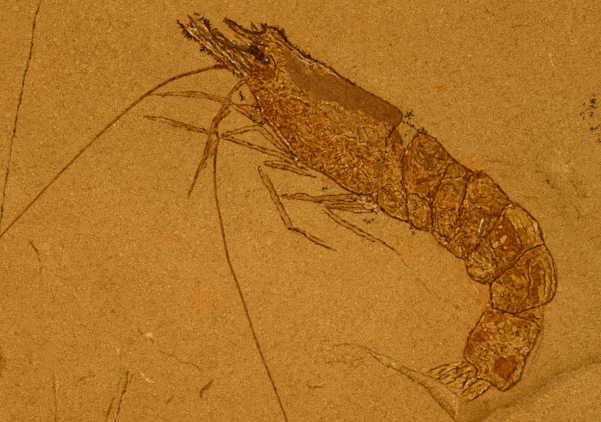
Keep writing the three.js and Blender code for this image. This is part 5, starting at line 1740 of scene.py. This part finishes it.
def slab_piece():
    """The whole slab: its top, its layered broken sides and its flat underside."""
    faces = slab_top(*slab_cells())
    used = np.unique(np.concatenate([np.asarray(f) for f in faces]))
    index = np.full(NV * NU, -1, np.int64)
    index[used] = np.arange(len(used))
    faces = [tuple(int(index[k]) for k in f) for f in faces]
    u, v = U.ravel()[used].astype(float), V.ravel()[used].astype(float)
    edges = outer_edges(faces, len(used))
    loop = max(rim_loops(edges.tolist()), key=len)
    rim = np.array(loop)
    u[rim], v[rim] = snap(SHEET, slab_inside, u[rim], v[rim])
    z = SHEET.read(stone_lift, u, v) + SLAB_TOP
    x, y = to_mm(u, v)
    verts = [np.stack([x, y, z], 1)]
    value = [SHEET.read(stone, u, v)]
    stained = [SHEET.read(stain, u, v)]
    side = [np.zeros(len(used))]
    turn = np.arctan2(y[rim], x[rim])
    reach = np.hypot(x[rim], y[rim])
    step_x, step_y = np.diff(x[rim], prepend=x[rim][-1]), np.diff(y[rim], prepend=y[rim][-1])
    round_way = np.cumsum(np.hypot(step_x, step_y))
    barrel = round_way[-1] / (2 * math.pi)
    ring_u, ring_v = barrel * np.cos(round_way / barrel), barrel * np.sin(round_way / barrel)
    facets = noise(ring_u, ring_v, 7, 94, 3, 0.6)

    def along(size, seed, levels, shift):
        return noise(ring_u + shift, ring_v - shift, size, seed, levels)

    keys = sorted(RINGS)
    below = rim
    for n, height in enumerate(SIDE_HEIGHTS):
        hi = next(k for k in keys if k >= height)
        lo = max(k for k in keys if k <= height)
        t = 0 if hi == lo else (height - lo) / (hi - lo)
        nominal = (RINGS[lo](turn) * (1 - t) + RINGS[hi](turn) * t) / RINGS[SLAB_TOP](turn)
        back = (0.9 * smoothstep(along(9, 96, 3, 6.4 * height), 0.3, 0.75)
                + 0.45 * along(2.2, 97, 2, 1.8 * height))
        back = back + 0.9 * smoothstep(facets, 0.45, 0.7)
        if n == len(SIDE_HEIGHTS) - 1:
            back = back + 0.3
        share = min(1.0, (SLAB_TOP - height) / 0.8)
        far = reach * (1 + (nominal - 1) * share) - back * share
        far = np.minimum(far, RINGS[lo](turn) * (1 - t) + RINGS[hi](turn) * t)
        wave = 0.25 * (along(7, 98, 2, 3.6 * n) - 0.5)
        level = np.zeros_like(far) if height == 0 else np.clip(height + wave, 0.03, 9.75)
        verts.append(np.stack([far * np.cos(turn), far * np.sin(turn), level], 1))
        value.append(0.5 + 0.26 * (along(5, 99, 3, 5 * height) - 0.5) - 0.10 * smoothstep(facets, 0.45, 0.7))
        side.append(np.ones(len(rim)))
        stained.append(np.zeros(len(rim)))
        start = sum(len(p) for p in verts[:-1])
        here = np.arange(start, start + len(rim))
        after, below_after = np.roll(here, -1), np.roll(below, -1)
        faces += list(zip(below.tolist(), here.tolist(), after.tolist(), below_after.tolist()))
        below = here
    faces += cap([np.concatenate(verts)[below][:, :2]], below)
    looks = {"tone": np.concatenate(value), "side": np.concatenate(side), "stain": np.concatenate(stained)}
    return build_mesh("limestone_slab", (np.concatenate(verts) * MM).tolist(), faces, looks, STONE,
                      "slab")


slab_piece()

# ---- the fossil's plates --------------------------------------------------------------------------------

# slot, growth, crown share, edge height, rim width
BODY_PLATE = ("shell", 0.9, 0.55, 0.20, 1.6)
FAN_PLATE = ("shell", 1.0, 0.6, 0.10, 1.2)
RAY_PLATE = ("head_rays", 0.3, 0.6, 0.12, 1.4)
PLATES = [("shield", "carapace", *BODY_PLATE)]
PLATES += [(f"ring_{n}", f"pleonite_{n}", *BODY_PLATE) for n in range(1, 7)]
PLATES += [
    ("fan_blade_1", "uropod_upper_outer", *FAN_PLATE),
    ("fan_blade_2", "uropod_upper_inner", *FAN_PLATE),
    ("fan_middle", "telson", *FAN_PLATE),
    ("fan_blade_3", "uropod_lower_inner", *FAN_PLATE),
    ("fan_blade_4", "uropod_lower_outer", *FAN_PLATE),
    ("scale_rays", "antennal_scale", *RAY_PLATE),
    ("feeler_rays", "antennules", *RAY_PLATE),
]
THINNEST = 0.03


def raised(win, inside, smooth, share, edge, rim_width, extra):
    """The top of a piece: a rounded rim, then its share of the solid's height, with `extra` relief."""
    rise = np.clip(inside / rim_width, 0, 1)
    profile = np.sqrt(np.clip(rise * (2 - rise), 0, 1))
    crown = (np.maximum(smooth * share, edge) - edge) * profile
    top = edge + crown + extra * np.clip(inside / 2.0, 0.15, 1)
    return stone_lift[win.cut] + np.maximum(top, THINNEST)


HEAD_BASES = {
    "scale_rays": "204,44 222,54 238,66 250,78 247,82 240,78 226,68 210,54",
    "feeler_rays": "216,34 232,44 242,46 256,42 270,46 277,58 278,72 274,82 262,88 250,86 243,78 232,66 "
    "220,56 "
                   "212,44",
}
RAY_SHARES = {"scale_rays": RAY_LINES[:4], "feeler_rays": RAY_LINES[4:8] + RAY_LINES[8:9]}

for piece, node, slot, growth, share, edge, rim_width in PLATES:
    base = HEAD_BASES.get(piece)
    rays = RAY_SHARES.get(piece, [])
    win, inside, smooth = silhouette(node, [place for _, _, _, place in rays] + ([base] if base else []))
    if base:
        inside = np.maximum(inside, inside_distance(points(base), win))
        reach = np.full((NV, NU), -REACH, np.float32)
        for n, (width, _, _, place) in enumerate(rays):
            part, _, within = stroke(curve(place), width + 1, 0.8, 0.4, (5, 3), RAY_SEED + n)
            reach[part.cut] = np.maximum(reach[part.cut], within)
        inside = np.maximum(inside, reach[win.cut])
        smooth = np.clip(smooth, 0.25, 0.8)
    inside = inside + growth + 0.7 * bridge[win.cut] - 0.9 * (noise(win.u, win.v, 3.5, 101, 2) - 0.5)
    level = np.maximum(edge, np.minimum(smooth * share, edge + 0.8 * bridge[win.cut]))
    top = raised(win, inside, smooth, share, level, rim_width, lift[win.cut])
    layers = {"tone": tone[win.cut], "rust": rust[win.cut], "moss": moss[win.cut], "film": film[win.cut]}
    relief_piece(piece, win, inside, top, layers, RAYS if slot == "head_rays" else SHELL, node)

# ---- feelers and legs: two dark edges with a paler core ----------------------------------------------

LIMBS = [
    # piece, node, core tone, half growth, lines
    ("feeler_long", "antenna_left", 0.37, -0.15, [
        (3.0, 0.16, "228,67 222,66 216.5,66 212,67"),
        (1.5, 0.24, "216,66.4 209,68 200,71.5 188,74 182,75.3 175,77.7 167,82 159,86 150.5,91.7 140,98.8"),
    ]),
    ("feeler_low", "antenna_lower", 0.35, -0.05, [
        (1.6, 0.22, "219,138 217,145 215.5,152 214.7,175"),
    ]),
    ("mouth_limbs", "maxillipeds", 0.49, -0.4, [
        (1.2, 0.26, "244,79 236,86 231,92 226,98 222,106 218,114 213,122 210,132 206.5,145 203.5,155 196,175 "
                    "191.6,186"),
        (1.0, 0.30, "193.6,181 190,190 187.5,198"),
        (1.1, 0.31, "247,81 239,88 233,96 228,103 224,110 220,118 216,126 212.5,136 209,147 206,157 200,172"),
        (1.2, 0.26, "232,103 222,112.5 217,120 213.5,129"),
        (1.2, 0.28, "234,109 223,117 218,123 215.5,129"),
        (3.2, 0.20, "214,130 217,135 218.5,139"),
        (1.1, 0.34, "216,138 210,149 205.5,159 202,168"),
        (1.1, 0.34, "220,139 214,151 208,161 203,170"),
    ]),
    ("leg_1_root", "leg_1_base", 0.52, -0.2, [
        (1.2, 0.26, "225,99 232,102.5 238,104.6 246,105.4 254,106.6"),
        (1.4, 0.22, "228,104 234,108 240,112 249,117.5 255,121 262,128"),
        (1.0, 0.30, "226,103 236,105.6 244,110 252,117"),
    ]),
    ("leg_1_tip", "leg_1_outer", 0.55, -0.4, [
        (1.2, 0.27, "147,95 158,94 168,93 179,92.4 199.6,92.4 210,95 225.6,98 236,103"),
        (1.1, 0.29, "156,95.2 168,95.3 180,95.6 196,97.4 210,98.8 224,103.7 234,108.4"),
        (1.0, 0.36, "184,94 200,95 214,98 228,102"),
    ]),
    ("leg_2_tip", "leg_2_outer", 0.55, -0.4, [
        (1.3, 0.28, "141,116 148,116.3 161,117.7 171.6,120.5 189,125.4 209.5,131.7 216,134"),
        (1.2, 0.29, "146,117.5 154,119.8 168,124 184,128.5 199.6,131.6 212,135"),
        (1.0, 0.34, "170,122 184,126 200,130.5"),
    ]),
    ("leg_3_limb", "leg_3", 0.55, -0.4, [
        (1.2, 0.26, "219,136 228,132.3 242,128.8 259.6,125.6 270,133.7 277,142 284,149 291,156"),
        (1.2, 0.27, "220,138 228,135 242,132.3 254.7,129.8 262,134 267,138.6 277,146.5 286,154 293,160"),
    ]),
    ("leg_4_limb", "leg_4", 0.55, -0.4, [
        (1.3, 0.24, "220,136 228,136.5 243.5,141.4 256,145.6 270,149.8 284,154.7 294,160"),
        (1.3, 0.25, "218,137.5 225,138.6 235,142 249,147 263,152 277,157 291,163 300,167 310,171"),
    ]),
    ("leg_5_limb", "leg_5", 0.49, -0.4, [
        (1.2, 0.26, "261,162.6 274,161 289,163 302,168"),
        (1.4, 0.22, "263,164.5 267,165.4 274,167 289,170 300,174 318,177"),
        (1.0, 0.30, "270,164 284,165.5 297,169 306,172"),
    ]),
    ("leg_6_limb", "leg_6", 0.55, -0.4, [
        (1.3, 0.25, "258,168 260,174.6 265,184 270,193.5 275,203 278,209.6 282,218 286,227"),
        (1.2, 0.28, "262,166 266,174 270,181.6 278.6,199 284,210 289,220 292,227"),
        (1.3, 0.26, "257.6,170 259,166.6 262,166"),
        (1.9, 0.14, "287,227.6 294,229.6 300,232 307,236.6 314,241.7 322,245.5 329.5,248.4 337,251"),
        (1.0, 0.30, "292,227 300,229.5 308,233.6 317.5,238.4 327,243.4"),
    ]),
    ("leg_7_limb", "leg_7", 0.49, -0.4, [
        (1.3, 0.24, "278,195.8 290,194.8 303,194 310,196 316,197 330,195.6 345,194.4 358,194.4"),
        (1.2, 0.26, "286,198.8 296,199.4 307,200 318,200.6"),
        (1.0, 0.32, "283,197 294,196.6 306,197"),
    ]),
    ("leg_8_limb", "leg_8", 0.54, -0.4, [
        (1.5, 0.18, "311,201.6 326,201 340,201 357,201"),
        (1.3, 0.22, "325,204.6 340,204 356,204 376,204.4"),
    ]),
    ("leg_9_limb", "leg_9", 0.48, -0.4, [
        (1.3, 0.24, "324,208 345,210 356,212.3 378,211.4"),
        (1.1, 0.28, "321,206.4 340,207 358,207.6 376,208"),
    ]),
    ("leg_10_limb", "leg_10", 0.55, -0.4, [
        (1.4, 0.22, "319,208 325,212.5 332,218 340,223.6 349,229 360,235 370,239.6 377,241.4"),
        (1.3, 0.23, "325,207 332,213 339,218 347,223 356,227.7 368,234 379,239.8 388,246 396,250.6"),
    ]),
]

for k, (piece, node, core, growth, lines) in enumerate(LIMBS):
    win, inside, smooth = silhouette(node, [place for _, _, place in lines])
    inside = inside + growth - 0.8 * (noise(win.u, win.v, 3.0, 111, 2) - 0.5)
    streak = noise(win.u, win.v, 2.2, 112, 3) - 0.5
    blotch = noise(win.u, win.v, 9.0, 113, 2) - 0.5
    sheet = np.full((NV, NU), core, np.float32)
    reach = np.full((NV, NU), -REACH, np.float32)
    for n, (width, value, place) in enumerate(lines):
        draw(sheet, 1.15 * width, value - 0.07, place, 1.0, 0.8, 0.8, (3, 3), seed=LIMB_SEED + 10 * k + n)
        part, _, within = stroke(curve(place), width, 0.8, 0.4, (3, 3), LIMB_SEED + 10 * k + n)
        reach[part.cut] = np.maximum(reach[part.cut], within)
    inside = np.maximum(inside, reach[win.cut])
    sharpen(sheet[win.cut], 2.4, 0.35)
    sheet[win.cut] += crumb_share[win.cut] * (crumbs[win.cut] - sheet[win.cut]) * (crumb_share[win.cut] > 0.5)
    value = 0.03 + sheet[win.cut] + 0.42 * streak + 0.16 * blotch
    top = raised(win, inside, np.minimum(smooth, 0.3), 0.35, 0.05, 1.0, 0.05 * streak)
    relief_piece(piece, win, inside, top, {"tone": value}, LIMB, node)

win, inside, smooth = silhouette("eye")
crumble = noise(win.u, win.v, 2.4, 121, 3, 0.7) - 0.5
inside = inside + 0.5 - 3.4 * crumble
value = 0.48 + 0.7 * (noise(win.u, win.v, 1.5, 123, 2) - 0.5)
ball = np.hypot(win.u - 266, win.v - 60.5)
# A lighter brown lobe round (266, 60.5), with a painted highlight on it at (267.4, 60).
value += 0.22 * np.exp(-(ball / 2.4) ** 2) + 0.65 * np.exp(-(np.hypot(win.u - 267.4, win.v - 60) / 0.8) ** 2)
top = np.maximum(surface[win.cut] + 0.05, stone_lift[win.cut] + 0.25 + 0.45 * smooth + 0.25 * crumble)
relief_piece("eye_mineral", win, inside, top, {"tone": value}, BLACK, "eye")

# ---- black mineral growths ------------------------------------------------------------------------------

FRINGES = [
    # steps between tufts, size, outward turn from the line's heading, spread, line
    (3.2, 5.0, -90, 50, "179,22 183,27.5 187,32"),
    (2.6, 5.4, -90, 40, "186,31 190,34.5 195,39.5"),
    (1.9, 4.6, -95, 45, "198,42 201,45 205,48"),
    (2.4, 3.6, -90, 40, "209,50.5 211,52.5 214,55.5"),
    (5.5, 3.4, -90, 35, "216,57 222,62 231,70 238,75"),
    (2.4, 3.2, 90, 40, "177,22 182,26 187,29"),
    (1.4, 6.0, 0, 110, "198,23 199,18 200,14"),
    (1.8, 4.4, 80, 60, "203,24 206,23 208,26"),
    (1.8, 4.2, 80, 90, "208,23 211,20"),
    (4.5, 2.8, 90, 50, "213,29 219,31 224,35"),
    (1.0, 4.6, 150, 100, "224,21 228,20 232,22"),
    (3.4, 2.4, 90, 40, "232,22 238,26 245,30"),
    (1.0, 4.0, 90, 70, "261,25 264,25 267,28"),
    (1.3, 3.8, 90, 60, "266,27 272,28.5 278,31.5 282,35.6 286,40.5 289,43.6"),
    (1.6, 2.6, 90, 70, "276,31 282,37 286,42"),
    (3.4, 3.2, 80, 40, "289,43.6 295,47.6 301.5,52.6 308,56.6 317.5,61.6"),
    (3.0, 1.2, 90, 60, "289,43.8 295,47.8 301.5,52.8 308,56.8 317.5,61.8 325,64.6 330,68 338,75"),
    (4.6, 3.0, 80, 40, "320,63 325,64.6 330,68 338,75 346,80 356,86"),
    (3.6, 2.6, 90, 50, "402,119 407,123 412,126 419,131.6 424,133.6 430,136 437,140.6"),
]
STARS = [
    # place, size, arms
    (408.6, 115, 5.8, 8), (411, 113, 4.0, 4), (423, 130, 3.6, 7), (241, 96, 4.5, 8), (243, 99, 3.0, 5),
    (251, 116, 3.5, 6), (255, 120, 3.0, 5), (261, 123, 4.0, 7), (265, 122, 3.0, 5), (323, 189, 2.6, 5),
    (326, 188.5, 2.4, 4), (364, 220, 2.5, 4), (369, 222, 3.0, 6), (373, 220, 2.6, 4), (407, 221, 3.0, 5),
    (411, 228, 3.0, 5), (413, 234, 2.4, 4), (294, 158, 2.0, 3), (298, 161, 2.0, 3), (437, 322, 1.4, 3),
    (240, 92, 2.4, 4), (203, 50, 3.6, 7), (186, 36, 3.0, 6),
]
CLUSTERS = [
    # middle, spread, count
    (590, 104, 8, 7, 12), (586, 116, 5, 5, 8), (594, 98, 5, 4, 6), (596, 128, 4, 4, 6), (598, 141, 3, 2, 5),
]
TWIG_HEIGHT = 0.05
TWIG_ROOT = -0.08
FRINGE_TWIG, STAR_TWIG, CLUSTER_TWIG = 0.78, 0.68, 0.62
BARE_SHARE = 0.38


def twig(verts, faces, a, b, width_a, width_b):
    """A flat sliver of mineral, closed, from a to b on whatever lies below it."""
    span = np.array(b) - np.array(a)
    size = max(float(np.hypot(*span)), 1e-6)
    across = np.array([-span[1], span[0]]) / size
    corners = [a + across * width_a / 2, a - across * width_a / 2,
               b - across * width_b / 2, b + across * width_b / 2]
    start = len(verts)
    for high in (0, 1):
        for u, v in corners:
            i = int(np.clip(round((u - U0) / STEP), 0, NU - 1))
            j = int(np.clip(round((v - V0) / STEP), 0, NV - 1))
            x, y = to_mm(u, v)
            z = surface[j, i] + SLAB_TOP + (TWIG_HEIGHT if high else TWIG_ROOT)
            verts.append((x * MM, y * MM, z * MM))
    for face in ((4, 5, 6, 7), (0, 3, 2, 1), (0, 1, 5, 4), (1, 2, 6, 5), (2, 3, 7, 6), (3, 0, 4, 7)):
        faces.append(tuple(start + n for n in face))


def grow(verts, faces, rng, place, heading, size, width, depth):
    """A fern-like growth: a bent stem with ever finer side twigs."""
    steps = 3 if depth else 2
    here = np.array(place, float)
    for n in range(steps):
        heading += rng.uniform(-22, 22)
        reach = size / steps * rng.uniform(0.7, 1.2)
        there = here + reach * np.array([math.cos(math.radians(heading)), -math.sin(math.radians(heading))])
        twig(verts, faces, here, there, width, width * 0.75)
        if depth:
            for turn in (50, -50):
                if rng.random() < 0.6:
                    grow(verts, faces, rng, there, heading + turn * rng.uniform(0.7, 1.3), size * 0.42,
                         width * 0.8, depth - 1)
        here, width = there, width * 0.85


def growths():
    """All the black growths, one piece."""
    rng = np.random.default_rng(77)
    verts, faces = [], []
    for gap, size, outward, spread, place in FRINGES:
        line = curve(place, gap)
        for here, there in zip(line[:-1], line[1:]):
            heading = math.degrees(math.atan2(here[1] - there[1], there[0] - here[0])) + outward
            if rng.random() < BARE_SHARE:
                continue
            for _ in range(2 if gap > 1.6 else 1):
                root = here + (there - here) * rng.random()
                grow(verts, faces, rng, root, heading + rng.uniform(-spread, spread),
                     size * rng.uniform(0.4, 1.1), FRINGE_TWIG, 1)
    for u, v, size, arms in STARS:
        turn = rng.uniform(0, 360)
        for n in range(arms):
            grow(verts, faces, rng, (u, v), turn + 360 * n / arms + rng.uniform(-12, 12),
                 size * rng.uniform(0.6, 1.1), STAR_TWIG, 0 if n % 3 else 1)
    for u, v, spread_u, spread_v, count in CLUSTERS:
        for _ in range(count):
            place = (u + rng.normal(0, spread_u / 2), v + rng.normal(0, spread_v / 2))
            grow(verts, faces, rng, place, rng.uniform(0, 360), rng.uniform(1.5, 3.5), CLUSTER_TWIG, 1)
    value = 0.30 + 0.2 * rng.random(len(verts))
    return build_mesh("black_growths", verts, faces, {"tone": value}, BLACK, None)


growths()

# ---- floor, light and camera ------------------------------------------------------------------------------


KEY_POWER, FILL_POWER, SKY_STRENGTH = 25.5, 5.2, 0.31
SKY_COLOUR = (1.0, 0.985, 0.96, 1)
LENS, SENSOR = 100, 36
FLOOR_HALF, FLOOR_CELLS, FLOOR_LEVEL = 1.4, 12, -0.0001


def floor():
    """A plain pale floor under the slab."""
    verts, faces = [], []
    count, half = FLOOR_CELLS, FLOOR_HALF
    for j in range(count + 1):
        for i in range(count + 1):
            verts.append((-half + 2 * half * i / count, -half + 2 * half * j / count, FLOOR_LEVEL))
    for j in range(count):
        for i in range(count):
            a = j * (count + 1) + i
            faces.append((a, a + 1, a + count + 2, a + count + 1))
    mesh = bpy.data.meshes.new("floor")
    mesh.from_pydata(verts, [], faces)
    mesh.materials.append(floor_look("pale_floor"))
    piece = bpy.data.objects.new("floor", mesh)
    bpy.context.scene.collection.objects.link(piece)


def softbox(name, place, size, power):
    """A white rectangular light that faces the slab."""
    light = bpy.data.lights.new(name, "AREA")
    light.shape = "RECTANGLE"
    light.size, light.size_y = size
    light.energy = power
    lamp = bpy.data.objects.new(name, light)
    bpy.context.scene.collection.objects.link(lamp)
    lamp.location = place
    x, y, z = place
    flat = math.hypot(x, y)
    lamp.rotation_euler = (math.atan2(flat, z), 0, math.atan2(x, -y) if flat else 0)


floor()
softbox("key_light", (-0.95, 0.75, 1.05), (0.5, 0.5), KEY_POWER)
softbox("fill_light", (0.9, -0.8, 1.3), (1.2, 1.2), FILL_POWER)
world = bpy.data.worlds.new("studio")
world.use_nodes = True
world.node_tree.nodes["Background"].inputs[0].default_value = SKY_COLOUR
world.node_tree.nodes["Background"].inputs[1].default_value = SKY_STRENGTH
bpy.context.scene.world = world
bpy.context.scene.view_settings.view_transform = "Standard"

camera_data = bpy.data.cameras.new("camera")
camera_data.lens, camera_data.sensor_width = LENS, SENSOR
camera_data.clip_start = 0.01
camera = bpy.data.objects.new("camera", camera_data)
bpy.context.scene.collection.objects.link(camera)
VIEW_WIDTH = 601 * UNIT * MM
camera.location = (0, 0, SLAB_TOP * MM + VIEW_WIDTH * camera_data.lens / camera_data.sensor_width)
bpy.context.scene.camera = camera
